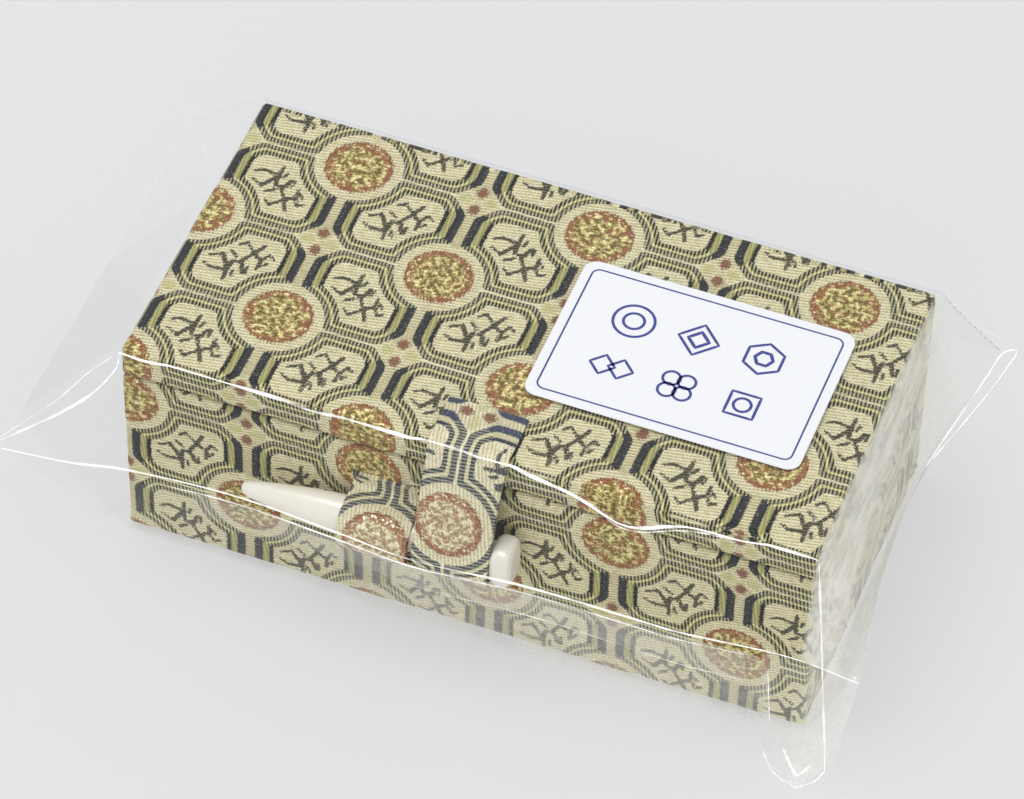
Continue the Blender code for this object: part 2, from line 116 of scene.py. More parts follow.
def through(start, *stops):
    """Values from a start through stops; each stop comes with its steps, plus one."""
    values = [np.array([start])]
    for stop, count in stops:
        values.append(np.linspace(values[-1][-1], stop, count)[1:])
    return np.concatenate(values)


def spaced(low, high, pitch, fine):
    """Even steps from low to high, with closer ones along a fine margin at each end."""
    inner_low, inner_high = low + fine, high - fine
    steps = max(2, round((inner_high - inner_low) / pitch))
    edge = np.linspace(0, fine, 6)[:-1]
    inner = np.linspace(inner_low, inner_high, steps + 1)
    return np.concatenate([low + edge, inner, (high - edge)[::-1]])


def patch(points, flip=False, **values):
    """A grid of points, shaped rows by cols by 3, joined by quads, with values at its points."""
    rows, cols = points.shape[:2]
    index = np.arange(rows * cols).reshape(rows, cols)
    a, b, c, d = index[:-1, :-1], index[:-1, 1:], index[1:, 1:], index[1:, :-1]
    order = (a, d, c, b) if flip else (a, b, c, d)
    shape = {"points": points.reshape(-1, 3), "faces": stacked(*order).reshape(-1, 4)}
    for key, value in values.items():
        shape[key] = value.reshape((rows * cols, *value.shape[2:]))
    return shape


def tube(rings, caps=(0, -1)):
    """A skin over closed rings of points, shaped rings by points by 3, with its ends capped."""
    index = np.arange(rings.shape[0] * rings.shape[1]).reshape(rings.shape[:2])
    ahead = np.roll(index, -1, axis=1)
    quads = stacked(index[:-1], ahead[:-1], ahead[1:], index[1:]).reshape(-1, 4)
    ends = {0: index[0, ::-1], -1: index[-1]}
    faces = [*quads, *(ends[cap] for cap in caps)]
    return {"points": rings.reshape(-1, 3), "faces": faces}


def joined(parts):
    """One shape out of several."""
    keys = [key for key in parts[0] if key != "faces"]
    shape = {key: np.concatenate([part[key] for part in parts]) for key in keys}
    offset, faces = 0, []
    for part in parts:
        faces += [face + offset for face in part["faces"]]
        offset += len(part["points"])
    return {**shape, "faces": faces}


def add_mesh(name, shape, material):
    """A mesh object from a shape in millimetres, with its cloth coordinates and its fields."""
    mesh = bpy.data.meshes.new(name)
    points, faces = np.asarray(shape["points"]), [list(map(int, face)) for face in shape["faces"]]
    mesh.from_pydata((points * MM).tolist(), [], faces)
    for key, values in shape.items():
        if key == "uv":
            layer = mesh.uv_layers.new(name="Cloth")
            corner = np.empty(len(mesh.loops), np.int32)
            mesh.loops.foreach_get("vertex_index", corner)
            layer.data.foreach_set("uv", values.astype(np.float32)[corner].ravel())
        elif key not in ("points", "faces"):
            attribute = mesh.attributes.new(key, "FLOAT", "POINT")
            attribute.data.foreach_set("value", values.astype(np.float32))
    mesh.shade_smooth()
    mesh.materials.append(material)
    obj = bpy.data.objects.new(name, mesh)
    bpy.context.scene.collection.objects.link(obj)
    return obj


def vectors(items, key):
    """One kind of vector for all the vertices of a mesh, a row each."""
    flat = np.empty(len(items) * 3, np.float32)
    items.foreach_get(key, flat)
    return flat.reshape(-1, 3).astype(float)


def move_points(mesh, points):
    mesh.vertices.foreach_set("co", points.astype(np.float32).ravel())
    mesh.update()


def round_box(points, low, high, radius):
    """Round the edges of a box: points near its surface move on to the rounded one."""
    low, high = np.asarray(low) + radius, np.asarray(high) - radius
    inner = np.clip(points, low, high)
    away = points - inner
    length = np.linalg.norm(away, axis=-1, keepdims=True)
    on_surface = inner + away / np.maximum(length, 1e-9) * radius
    return np.where(length > 1e-6, on_surface, points)


def path_points(line, pitch):
    """Points along a polyline at about even steps, with each point's distance along it."""
    line = np.asarray(line, float)
    lengths = np.linalg.norm(np.diff(line, axis=0), axis=1)
    points, travel, start = [], [], 0.0
    for a, b, length in zip(line, line[1:], lengths):
        t = np.linspace(0, 1, max(1, round(length / pitch)), endpoint=False)
        points.append(a + (b - a) * t[:, None])
        travel.append(start + length * t)
        start += length
    return np.concatenate(points + [line[-1:]]), np.append(np.concatenate(travel), start)


def curve_through(points, steps=14):
    """Points of a smooth curve through the given ones."""
    p = np.asarray(points, float)
    p = np.concatenate([2 * p[:1] - p[1:2], p, 2 * p[-1:] - p[-2:-1]])
    t = np.linspace(0, 1, steps, endpoint=False)[:, None]
    spans = []
    for a, b, c, d in zip(p, p[1:], p[2:], p[3:]):
        square, cube = 2 * a - 5 * b + 4 * c - d, 3 * b - a - 3 * c + d
        spans.append(0.5 * (2 * b + (c - a) * t + square * t**2 + cube * t**3))
    return np.concatenate(spans + [p[-2:-1]])


def rounded_outline(half_x, half_y, radius):
    """A rectangle with round corners, as points in the plane, counter-clockwise."""
    points = []
    for sx, sy, start in ((1, 1, 0), (-1, 1, 90), (-1, -1, 180), (1, -1, 270)):
        x, y = sx * (half_x - radius), sy * (half_y - radius)
        angle = np.radians(np.linspace(start, start + 90, 7))
        points.append(stacked(x + radius * np.cos(angle), y + radius * np.sin(angle)))
    return np.concatenate(points)


# Pieces on their bodies


def settle(obj, body, node=None):
    """Put a piece on its body and hide the CAD node it stands for."""
    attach(obj, body)
    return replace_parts(obj, node) if node else obj


def bend(obj, node):
    """Hide the CAD node a piece stands for and bake its place into its mesh."""
    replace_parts(obj, node)
    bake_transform(obj)


def flatten(obj):
    """Give a piece of the bag a mesh of its own."""
    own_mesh(obj)
    return obj


# Pattern fields


# Twigs of the sprig in a cell: start, end and half width of each stroke.
SPRIG_STROKES = [
    ((-0.3, -3.7), (1.4, -2.0), 0.13), ((1.4, -2.0), (2.3, -3.9), 0.2),
    ((1.4, -2.0), (2.3, -1.3), 0.2), ((1.4, -2.0), (0.3, -0.2), 0.17),
    ((0.3, -0.2), (1.1, 1.9), 0.2), ((1.5, 0.6), (1.6, 1.9), 0.12),
    ((-0.3, 0.2), (0.4, 0.3), 0.16), ((-2.6, -0.5), (-1.0, 2.0), 0.22),
    ((-0.8, 0.3), (-1.0, 2.0), 0.2), ((-1.0, 2.0), (-0.9, 3.9), 0.17),
    ((-0.2, 2.0), (0.1, 3.0), 0.14), ((-4.3, 0.4), (-2.6, -0.5), 0.12),
    ((-4.5, 1.9), (-3.3, 2.5), 0.12), ((-3.3, 2.5), (-1.0, 2.2), 0.18),
    ((-1.7, -1.4), (-0.6, -0.6), 0.15), ((-1.2, -2.8), (-0.2, -3.7), 0.12),
    ((4.4, -1.9), (3.5, -2.5), 0.12), ((3.5, -2.5), (2.8, -1.1), 0.13),
    ((2.8, -1.1), (2.7, 0.6), 0.16), ((3.8, -0.9), (3.3, -0.2), 0.12),
]
# Values of the fields where their motif is out of reach.
NO_SPOT, NO_PETAL, NO_SPRIG = 7.0, 2.5, 1.5


def segment_distance(x, y, start, end):
    dx, dy = end[0] - start[0], end[1] - start[1]
    t = np.clip(((x - start[0]) * dx + (y - start[1]) * dy) / (dx * dx + dy * dy), 0, 1)
    return np.hypot(x - start[0] - t * dx, y - start[1] - t * dy)


def pattern_fields(u, v):
    """Distances that say where each motif lies, for cloth coordinates from a medallion's centre."""
    column, row = np.floor(u / LATTICE_X), np.floor(v / LATTICE_Y)
    a = u - (column + 0.5) * LATTICE_X
    b = v - (row + 0.5) * LATTICE_Y
    medallion = (column + (a > 0) + row + (b > 0)) % 2 == 0
    across = LATTICE_X / 2 - np.abs(a)
    along = LATTICE_Y / 2 - np.abs(b)
    radius = np.hypot(across, along)

    side = (across - GAP_X) / 1.25
    rail = (along - GAP_Y) / 0.9
    bevel = (across + along - LOZENGE) / math.sqrt(2)
    ring = (radius - RING) / 0.9
    edges = np.stack([side, rail, np.where(medallion, ring, bevel)])
    soft = 0.16
    level = -soft * np.log(np.exp(-edges.clip(-3, 9) / soft).sum(axis=0))
    lean = np.clip(0.55 + 1.2 * (along - across) / LOZENGE, 0.2, 1)
    upright = np.choose(edges.argmin(axis=0), [1.0, 0.0, np.where(medallion, 0.3, lean)])

    scallop = 0.1 * np.cos(20 * np.arctan2(along, across))
    red = np.hypot(across, (along - 1.7) * 0.85)
    green = np.hypot((across - 1.7) * 0.8, along)
    y = b * np.where((column + row) % 2 == 0, 1.0, -1.0)
    sprig = np.full(np.shape(u), NO_SPRIG)
    for start, end, half_width in SPRIG_STROKES:
        sprig = np.minimum(sprig, segment_distance(a, y, start, end) - half_width)
    return {
        "level": level,
        "upright": upright,
        "spot": np.where(medallion, np.minimum(radius, NO_SPOT) + scallop, NO_SPOT),
        "petal_red": np.where(medallion, NO_PETAL, np.minimum(red, NO_PETAL)),
        "petal_green": np.where(medallion, NO_PETAL, np.minimum(green, NO_PETAL)),
        "sprig": sprig,
    }


def relief(fields):
    """Height of the weave in millimetres: raised medallions and cell borders."""
    medallion = 1 - smooth_step(fields["spot"], 4.4, 5.3)
    level = fields["level"]
    border = smooth_step(level, -0.1, 0.3) * (1 - smooth_step(level, 2.2, 2.7))
    sprig = 1 - smooth_step(fields["sprig"], 0.1, 0.5)
    petals = 1 - smooth_step(np.minimum(fields["petal_red"], fields["petal_green"]), 0.5, 0.9)
    return 0.13 * medallion + 0.05 * border + 0.05 * sprig + 0.05 * petals


def brocade_piece(name, shape, material, phase, seed):
    """Cloth whose pattern has a medallion at the given cloth coordinates, raised in relief."""
    u, v = (shape["uv"] - phase).T
    drift_u, drift_v = (0.12 * ripple(u, v, seed + k, size) for k, size in enumerate((40, 35)))
    fields = pattern_fields(u + drift_u, v + drift_v)
    obj = add_mesh(name, {**shape, "uv": stacked(u, v), **fields}, material)
    height = relief(fields) + 0.035 * ripple(u, v, seed + 2, 14)
    mesh = obj.data
    normals = vectors(mesh.vertex_normals, "vector")
    move_points(mesh, vectors(mesh.vertices, "co") + normals * (height * MM)[:, None])
    return obj


# Materials


def colour(*display):
    """Linear colour from display values between 0 and 255."""
    c = np.array(display) / 255
    linear = np.where(c <= 0.04045, c / 12.92, ((c + 0.055) / 1.055) ** 2.4)
    return (*linear.tolist(), 1.0)


class Value:
    """A node's output, which can be added, taken away and multiplied."""

    def __init__(self, graph, socket):
        self.graph, self.socket = graph, socket

    def __add__(self, other):
        return self.graph.math("ADD", self, other)

    def __sub__(self, other):
        return self.graph.math("SUBTRACT", self, other)

    def __rsub__(self, other):
        return self.graph.math("SUBTRACT", other, self)

    def __mul__(self, other):
        return self.graph.math("MULTIPLY", self, other)


class Graph:
    """Shorthand for building one node material."""

    def __init__(self, name):
        self.material = bpy.data.materials.new(name)
        self.material.use_nodes = True
        self.tree = self.material.node_tree
        self.shader = self.tree.nodes["Principled BSDF"]

    def plug(self, socket, value):
        if isinstance(value, Value):
            self.tree.links.new(value.socket, socket)
        else:
            socket.default_value = value

    def node(self, kind, inputs=None, output=0, **settings):
        """One output of a new node."""
        node = self.tree.nodes.new("ShaderNode" + kind)
        for key, value in settings.items():
            setattr(node, key, value)
        for key, value in (inputs or {}).items():
            self.plug(node.inputs[key], value)
        return Value(self, node.outputs[output])

    def math(self, operation, a, b):
        return self.node("Math", {0: a, 1: b}, operation=operation)

    def blend(self, factor, a, b):
        return self.node("Mix", {0: factor, 6: a, 7: b}, 2, data_type="RGBA")

    def mix(self, share, a, b):
        return self.node("MixShader", {0: share, 1: a, 2: b})

    def step(self, value, low, high, to_low=0.0, to_high=1.0):
        inputs = {0: value, 1: low, 2: high, 3: to_low, 4: to_high}
        return self.node("MapRange", inputs, interpolation_type="SMOOTHSTEP")

    def below(self, value, edge, soft):
        return self.step(value, edge - soft, edge + soft, 1.0, 0.0)

    def band(self, value, low, high, soft):
        return self.step(value, low - soft, low + soft) * self.below(value, high, soft)

    def field(self, name):
        return self.node("Attribute", output="Fac", attribute_name=name)

    def split(self, vector):
        """The three parts of a vector."""
        return [self.node("SeparateXYZ", {0: vector}, part) for part in range(3)]

    def place(self):
        """Object coordinates in millimetres."""
        vector = self.node("TexCoord", output="Object")
        return self.node("VectorMath", {0: vector, 3: 1 / MM}, operation="SCALE")

    def stretch(self, vector, *scales):
        return self.node("Mapping", {0: vector, 3: scales})

    def noise(self, vector, scale, detail=2.0, roughness=0.5):
        inputs = {"Vector": vector, "Scale": scale, "Detail": detail, "Roughness": roughness}
        return self.node("TexNoise", inputs)

    def dots(self, vector, scale):
        inputs = {"Vector": vector, "Scale": scale, "Randomness": 0.9}
        return self.node("TexVoronoi", inputs, "Distance")

    def wave(self, phase, pitch):
        """A sine of a length in millimetres, between -1 and 1."""
        return self.math("SINE", phase * (TAU / pitch), 0.0)

    def bump(self, height, distance, strength):
        """A normal that follows a height; the distance is in millimetres."""
        inputs = {"Height": height, "Distance": distance * MM, "Strength": strength}
        return self.node("Bump", inputs)

    def set(self, **values):
        for key, value in values.items():
            self.plug(self.shader.inputs[key.replace("_", " ")], value)
        return self.material

    def finish(self, surface):
        self.plug(self.tree.nodes["Material Output"].inputs["Surface"], surface)
        return self.material


# Ground light and dark, two lines, the band and its beads, then the gold: light, dark as painted
# shade, and glint as painted highlight.
BOX_COLOURS = (
    (244, 237, 198), (172, 159, 113), (17, 24, 42), (28, 30, 24), (148, 146, 84), (238, 232, 168),
    (220, 204, 132), (118, 98, 50), (254, 250, 190),
)
STRAP_COLOURS = (
    (248, 240, 206), (184, 174, 136), (50, 64, 92), (52, 62, 74), (196, 190, 150), (240, 236, 192),
    (242, 232, 190), (172, 146, 106), (255, 252, 224),
)


def brocade_material(name, colours, stripe=0.0):
    """Woven pattern from the piece's fields, with its ribs, dashes and gold thread."""
    light, shaded, navy, dark, olive, bright, gold, gold_dark, gold_glint = (
        colour(*display) for display in colours)
    g = Graph(name)
    vector = g.node("UVMap", uv_map="Cloth")
    u, v = g.split(vector)[:2]
    level, upright = g.field("level"), g.field("upright")
    spot, sprig = g.field("spot"), g.field("sprig")
    uneven = g.noise(vector, 0.9, 3.0)
    fuzz = g.noise(vector, 3.6)
    wobble = fuzz - 0.5
    ragged = level + wobble * 0.5
    standing = g.step(upright, 0.45, 0.8)

    # The ground: ribs across the cloth and dashes along it.
    dash_wave = g.wave(u + v * 0.12 + uneven * 0.22, THREAD)
    dash = g.step(dash_wave, -0.35, 0.45)
    cross = v - u * 0.2
    rib_wave = g.wave(cross + uneven * 0.22, RIB)
    pick = g.step(g.wave(cross, THREAD), -0.2, 0.6)
    tone = fuzz * 0.8 + uneven * 0.5 + rib_wave * 0.2 + dash_wave * rib_wave * 0.2
    base = g.blend(g.step(tone, 0.22, 0.98), shaded, light)
    gap = g.below(level, -0.04, 0.06)
    base = g.blend(gap * standing * (1 - pick) * 0.6, base, shaded)
    base = g.blend(gap * g.below(upright, 0.15, 0.05) * 0.5, base, light)

    # Borders: a thick navy line, an olive band with bright ticks, and a thinner inner line.
    solid = g.math("MAXIMUM", standing, stripe)
    speck = g.below(g.dots(vector, 2.3), 0.2, 0.08)
    ticks = dash * g.step(fuzz, 0.3, 0.45)
    weave = g.step(ticks + solid * 0.9, 0.1, 0.75, 0.35, 1.0) * (1 - speck * solid * 0.4)
    bead = (1 - dash) * g.band(level, 0.98, 1.6, 0.16)
    band_colour = g.blend(bead * g.step(solid, 0.0, 1.0, 0.95, 0.35), olive, bright)
    band_mask = g.band(ragged, 0.68, 1.85, 0.1) * g.step(solid, 0.0, 1.0, 0.68, 0.9)
    base = g.blend(band_mask, base, band_colour)
    outer = g.step(ragged, -0.08, 0.1) * g.below(ragged - solid * 0.1, 0.92, 0.08) * weave
    inner = g.step(ragged - solid * 0.42, 1.3, 1.44) * g.below(ragged, 2.3, 0.1) * weave
    base = g.blend(outer * 0.96, base, g.blend(solid, dark, navy))
    base = g.blend(inner, base, dark)

    broken = g.step(rib_wave * 0.3 + fuzz, 0.0, 0.45, 0.45, 1.0)
    stroke = g.below(sprig + wobble * 0.6, 0.13, 0.08)
    base = g.blend(stroke * broken * 0.95, base, dark)
    red_petal = g.below(g.field("petal_red") + wobble * 1.5, 0.8, 0.16)
    green_petal = g.below(g.field("petal_green") + wobble * 1.3, 0.85, 0.25)
    base = g.blend(green_petal * 0.42, base, colour(176, 174, 84))
    base = g.blend(red_petal * 0.85, base, colour(122, 62, 46))

    # Medallions: gold knots on olive, painted shade between the raised knots and painted glints on
    # them, patched with red inside a broken red ring.
    patchy = g.noise(vector, 0.62, 4.0, 0.65)
    knots = g.noise(vector, 1.15, 3.0, 0.7)
    # Darker between the raised knots: olive thread and painted shade in one.
    knot_shade = 1 - g.step(knots, 0.42, 0.57)
    fill = g.blend(knot_shade, gold, gold_dark)
    rim = g.step(spot, 3.0, 4.5, 0.0, 0.17)
    redness = g.step(patchy + wobble * 0.5 + rim, 0.55, 0.62)
    red = g.blend(g.step(fuzz, 0.35, 0.65), colour(124, 62, 40), colour(186, 122, 84))
    fill = g.blend(redness * 0.8, fill, red)
    # Painted glints on the gold knots.
    glint = g.step(knots, 0.54, 0.6) * g.step(fuzz + rib_wave * 0.1, 0.42, 0.56)
    fill = g.blend(glint * 0.9, fill, gold_glint)
    spot_edge = spot + wobble * 0.5
    base = g.blend(g.below(spot_edge, 4.75, 0.1), base, fill)
    ring_gaps = g.step(dash * 0.35 + patchy, 0.5, 0.8, 0.25, 1.0)
    ring = g.band(spot_edge, 4.5, 4.95, 0.12) * ring_gaps
    base = g.blend(ring * 0.75, base, colour(138, 78, 52))

    knot_height = g.below(spot, 4.8, 0.2) * (1 - knot_shade) * 0.9
    height = rib_wave * 0.25 + fuzz * 0.9 + (outer + inner) * (dash * 0.5) + knot_height
    shine = glint * g.below(spot, 4.75, 0.12)
    g.set(Base_Color=base, Roughness=shine * -0.35 + 0.7, Metallic=shine * 0.4)
    g.set(Normal=g.bump(height, 0.12, 0.85), Specular_IOR_Level=0.14)
    return g.set(Sheen_Weight=0.04, Sheen_Roughness=0.5)


def satin_material():
    g = Graph("satin")
    place = g.place()
    grain = g.noise(place, 6.0, 3.0)
    cloud = g.noise(place, 0.12, 3.0)
    x, y, z = g.split(place)
    warp = g.wave(x + z * 0.4, 0.16)
    weft = g.wave(y + z * 0.6, 0.4)
    base = g.blend(cloud * 0.9 + grain * 0.25, colour(196, 158, 70), colour(236, 208, 128))
    g.set(Base_Color=base, Roughness=g.step(grain, 0.2, 0.8, 0.32, 0.46), Anisotropic=0.5)
    g.set(Normal=g.bump(warp + weft + grain * 1.5, 0.012, 0.6))
    return g.set(Sheen_Weight=0.4, Sheen_Roughness=0.3)


def bone_material():
    g = Graph("bone")
    place = g.place()
    stretched = g.stretch(place, 0.12, 1.6, 1.6)
    grain = g.noise(stretched, 1.4, 5.0, 0.6)
    pores = g.below(g.dots(stretched, 3.2), 0.12, 0.06)
    tone = grain * 0.6 + g.noise(place, 0.18) * 0.5
    base = g.blend(tone, colour(238, 231, 212), colour(252, 249, 240))
    base = g.blend(pores * 0.25, base, colour(186, 168, 130))
    g.set(Base_Color=base, Roughness=g.step(grain, 0.3, 0.7, 0.28, 0.42))
    g.set(Normal=g.bump(grain - pores * 0.6, 0.03, 0.5), Coat_Weight=0.25, Coat_Roughness=0.2)
    return g.set(Subsurface_Weight=0.25, Subsurface_Radius=(0.0012, 0.0009, 0.0006))


def ink_material():
    g = Graph("ink")
    place = g.place()
    grain = g.noise(place, 2.5, 4.0, 0.6)
    gilt = g.step(g.field("gilt"), 0.45, 0.6) * g.step(grain, 0.34, 0.42)
    base = g.blend(grain, colour(20, 20, 23), colour(38, 37, 40))
    base = g.blend(gilt, base, colour(206, 168, 84))
    rough = g.blend(gilt, g.step(grain, 0.3, 0.7, 0.38, 0.55), (0.35, 0.35, 0.35, 1))
    g.set(Normal=g.bump(g.noise(place, 9.0, 3.0), 0.03, 0.5))
    return g.set(Base_Color=base, Roughness=rough, Metallic=gilt)


def board_material():
    g = Graph("grey_board")
    place = g.place()
    fibre = g.noise(g.stretch(place, 1.0, 1.0, 4.0), 1.2, 6.0, 0.7)
    fleck = g.below(g.dots(place, 1.1), 0.12, 0.05)
    base = g.blend(fibre, colour(146, 142, 134), colour(190, 187, 178))
    base = g.blend(fleck * 0.4, base, colour(110, 104, 96))
    return g.set(Base_Color=base, Roughness=0.92, Normal=g.bump(fibre, 0.08, 0.6))


def paper_material(name, low, high, roughness, coat=0.0):
    g = Graph(name)
    place = g.place()
    fibre = g.noise(place, 3.0, 6.0, 0.65)
    base = g.blend(fibre * 0.5 + g.noise(place, 0.08) * 0.5, low, high)
    g.set(Normal=g.bump(fibre, 0.015, 0.4))
    return g.set(Base_Color=base, Roughness=roughness, Coat_Weight=coat, Coat_Roughness=0.15)


def foam_material():
    g = Graph("bed_foam")
    cells = g.dots(g.place(), 2.0)
    base = g.blend(g.step(cells, 0.1, 0.6), colour(180, 148, 78), colour(206, 174, 104))
    return g.set(Base_Color=base, Roughness=0.95, Normal=g.bump(cells, 0.15, 0.7))


def print_material():
    g = Graph("label_print")
    speck = g.noise(g.place(), 7.0, 3.0)
    base = g.blend(g.step(speck, 0.3, 0.7), colour(44, 56, 132), colour(74, 86, 160))
    return g.set(Base_Color=base, Roughness=g.step(speck, 0.3, 0.7, 0.3, 0.45))


def film_material(name, haze, gloss=0.14):
    """Clear film: see-through, with its mirror highlights, and milky where its haze field says; the
    milky veil carries a painted glow.
    """
    g = Graph(name)
    place = g.place()
    g.tree.nodes.remove(g.shader)
    fine = g.noise(g.stretch(place, 1.0, 0.16, 0.7), 0.7, 4.0, 0.6)
    height = fine + g.noise(place, 2.2) * 0.12
    normal = g.bump(height, 0.35, g.step(g.field("crumple"), 0, 1, 0, 0.35))
    clear = g.node("BsdfTransparent", {0: (0.995, 0.996, 0.997, 1)})
    mirror = g.node("BsdfGlossy", {"Roughness": gloss, "Normal": normal})
    milk = g.node("BsdfDiffuse", {0: colour(236, 236, 230)})
    glow = g.node("BsdfTranslucent", {0: colour(244, 243, 238)})
    # Painted glow: emission in the milky veil, so it stays light where little light reaches it.
    spread = g.node("Emission", {0: colour(250, 249, 243), 1: 0.2})
    veil = g.node("AddShader", {0: g.mix(0.4, milk, glow), 1: spread})
    cloudy_and_glow = g.field("haze") * g.step(fine, 0.3, 0.7, 0.72, 1.18)
    body = g.mix(g.math("MINIMUM", cloudy_and_glow + haze, 0.95), clear, veil)
    facing = g.node("LayerWeight", {"Normal": normal}, "Facing")
    share = g.math("POWER", facing, 5.0) * 0.55 + 0.032
    return g.finish(g.mix(share * g.step(g.field("crumple"), -1, 0, 0.1, 1), body, mirror))


def fold_highlight_material():
    """Painted highlight on creased or welded film: white and glowing where its haze field says."""
    g = Graph("film_fold_highlight")
    white = (1, 1, 1, 1)
    # Painted highlight: white base colour with a white glow.
    g.set(Base_Color=white, Roughness=0.22, Emission_Color=white, Emission_Strength=0.3)
    # Painted highlight strength, uneven across the film.
    glint = g.step(g.noise(g.place(), 0.45), 0.3, 0.6, 0.45, 1.15)
    share = g.math("MINIMUM", g.field("haze") * glint, 1.0)
    return g.finish(g.mix(share, g.node("BsdfTransparent"), Value(g, g.shader.outputs[0])))


def floor_material():
    g = Graph("floor")
    place = g.place()
    base = g.blend(g.noise(place, 0.02, 3.0), (0.32, 0.32, 0.322, 1), (0.335, 0.335, 0.337, 1))
    g.set(Normal=g.bump(g.noise(place, 0.8, 4.0), 0.02, 0.3))
    g.set(Emission_Color=(0.97, 0.985, 1.0, 1), Emission_Strength=0.45)
    return g.set(Base_Color=base, Roughness=0.75, Specular_IOR_Level=0.2)


# Cloth over the box

# Each side of the box: the way it faces, the way along it, half its length and its distance.
SIDES = {
    "front": ((0, -1), (1, 0), HALF_X, HALF_Y),
    "right": ((1, 0), (0, 1), HALF_Y, HALF_X),
    "back": ((0, 1), (-1, 0), HALF_X, HALF_Y),
    "left": ((-1, 0), (0, -1), HALF_Y, HALF_X),
}
CORNER = HALF_X + HALF_Y
EDGE_RADIUS = 0.55
RIM_GAP = 0.12
CLOTH_PITCH, CLOTH_MARGIN = 0.42, 0.9


def wall_patch(side, profile, cloth_uv):
    """Cloth on one side: a profile of (inset, height) points carried along that side."""
    normal, tangent, half_along, half_out = SIDES[side]
    section, _ = path_points(profile, CLOTH_PITCH)
    share = spaced(-half_along, half_along, CLOTH_PITCH, CLOTH_MARGIN) / half_along
    inset, height = section[:, :1], section[:, 1:]
    along = share * (half_along - np.maximum(inset, 0))
    out = half_out - inset
    x, y = (normal[axis] * out + tangent[axis] * along for axis in range(2))
    return patch(stacked(x, y, height), uv=stacked(*cloth_uv(along, inset, height)))


def rounded(shape, low_z, high_z):
    low, high = (-HALF_X, -HALF_Y, low_z), (HALF_X, HALF_Y, high_z)
    return {**shape, "points": round_box(shape["points"], low, high, EDGE_RADIUS)}


def lid_cloth(material):
    """Cloth over the lid's top, folded down its front and sides and turned in under the rim."""
    x = spaced(-HALF_X, HALF_X, CLOTH_PITCH, CLOTH_MARGIN)
    y = spaced(-HALF_Y, HALF_Y - 0.2, CLOTH_PITCH, CLOTH_MARGIN)
    gx, gy = np.meshgrid(x, y)
    rim = LID_LOW + RIM_GAP
    edge = [(0, TOP), (0, rim), (2.7, rim), (2.7, rim + 1.5)]

    def run(inset, z):
        """Cloth used from the lid's edge on, less what its round takes up."""
        return TOP - z + inset - 1.1 * smooth_step(TOP - z, 0, 0.45)

    walls = [
        wall_patch("front", edge, lambda a, i, z: (a, -HALF_Y - run(i, z))),
        wall_patch("right", edge, lambda a, i, z: (HALF_X + run(i, z), a)),
        wall_patch("left", edge, lambda a, i, z: (-HALF_X - run(i, z), -a)),
    ]
    for wall in walls:
        wall["faces"] = wall["faces"][:, ::-1]
    top = patch(stacked(gx, gy, TOP), uv=stacked(gx, gy))
    shape = rounded(joined([top, *walls]), rim, TOP)
    obj = brocade_piece("lid_cloth", shape, material, LID_PHASE, 11)
    settle(obj, "lid", "lid_brocade")


def base_cloth(material):
    """Cloth round the base's front and sides, over the rim and in under the floor."""
    rim = BASE_TOP - RIM_GAP
    wall = [(6.0, BASE_LOW), (0, BASE_LOW), (0, rim), (2.7, rim), (2.7, rim - 1.2)]

    def run(inset, z):
        """Cloth used up the wall, from under the floor to inside the rim."""
        return np.where(z < BASE_LOW + 0.1, z - inset, np.where(z > rim - 0.1, z + inset, z))

    shape = joined([
        wall_patch("front", wall, lambda a, i, z: (a, run(i, z))),
        wall_patch("right", wall, lambda a, i, z: (CORNER + a, run(i, z))),
        wall_patch("left", wall, lambda a, i, z: (-CORNER + a, run(i, z))),
    ])
    shape = rounded(shape, BASE_LOW, rim)
    obj = brocade_piece("base_cloth", shape, material, BASE_PHASE, 23)
    settle(obj, "base", "base_brocade")


def spine_cloth(material):
    """One cloth down the back from the lid's top edge to under the floor; it dips in a little at
    the hinge.
    """
    back = [(6.0, BASE_LOW), (0, BASE_LOW), (0, HINGE_HEIGHT), (0, TOP), (0.9, TOP)]
    shape = rounded(wall_patch("back", back, lambda a, i, z: (-a, z)), BASE_LOW, TOP)
    points = shape["points"]
    points[:, 1] -= 0.22 * np.exp(-(((points[:, 2] - HINGE_HEIGHT) / 0.35) ** 2))
    obj = brocade_piece("spine_cloth", shape, material, SPINE_PHASE, 37)
    bend(obj, "spine_brocade")


# Strap, loop and peg

# The band's thickness, the outer radius of its fold round the peg, and how far that fold goes.
BAND, SLEEVE_OUT, SLEEVE_TURN = 0.6, 3.35, math.radians(238)
STRAP_LENGTH = 41
PEG_LIFT, PEG_SLOPE, PEG_LEVEL_X = 0.7, 0.028, -16


def arc(centre, radius, start, end, steps):
    angle = np.linspace(start, end, steps)
    return stacked(centre[0] + radius * np.cos(angle), centre[1] + radius * np.sin(angle))


def band_mesh(name, path, x_centre, half_width, material, phase, seed):
    """A cloth band with thickness, along a path in the Y-Z plane whose outer side is given."""
    path, travel = path_points(path, 0.3)
    tangent = unit(np.gradient(path, axis=0))
    inward = stacked(-tangent[:, 1], tangent[:, 0])
    across = np.linspace(-1, 1, 34)
    x = x_centre + across * half_width(travel / travel[-1])[:, None]
    tuck = 0.28 * np.abs(across) ** 8
    sheets = []
    for layer in (0.0, 1.0):
        depth = layer * BAND * (1 - 1.4 * tuck) + tuck * BAND * 0.9
        y, z = (path[:, k, None] + inward[:, k, None] * depth for k in range(2))
        sheets.append(stacked(x, y, z))
    outer, inner = sheets
    uv = stacked(travel[:, None], outer[..., 0] - x_centre)
    sides = [patch(outer, flip=True, uv=uv), patch(inner, uv=uv)]
    for axis in (1, 0):
        for end in (0, -1):
            line = [np.take(part, end, axis) for part in (outer, inner, uv, uv)]
            strip, strip_uv = np.stack(line[:2], axis), np.stack(line[2:], axis)
            sides.append(patch(strip, flip=(end == 0) == (axis == 0), uv=strip_uv))
    return brocade_piece(name, joined(sides), material, phase, seed)


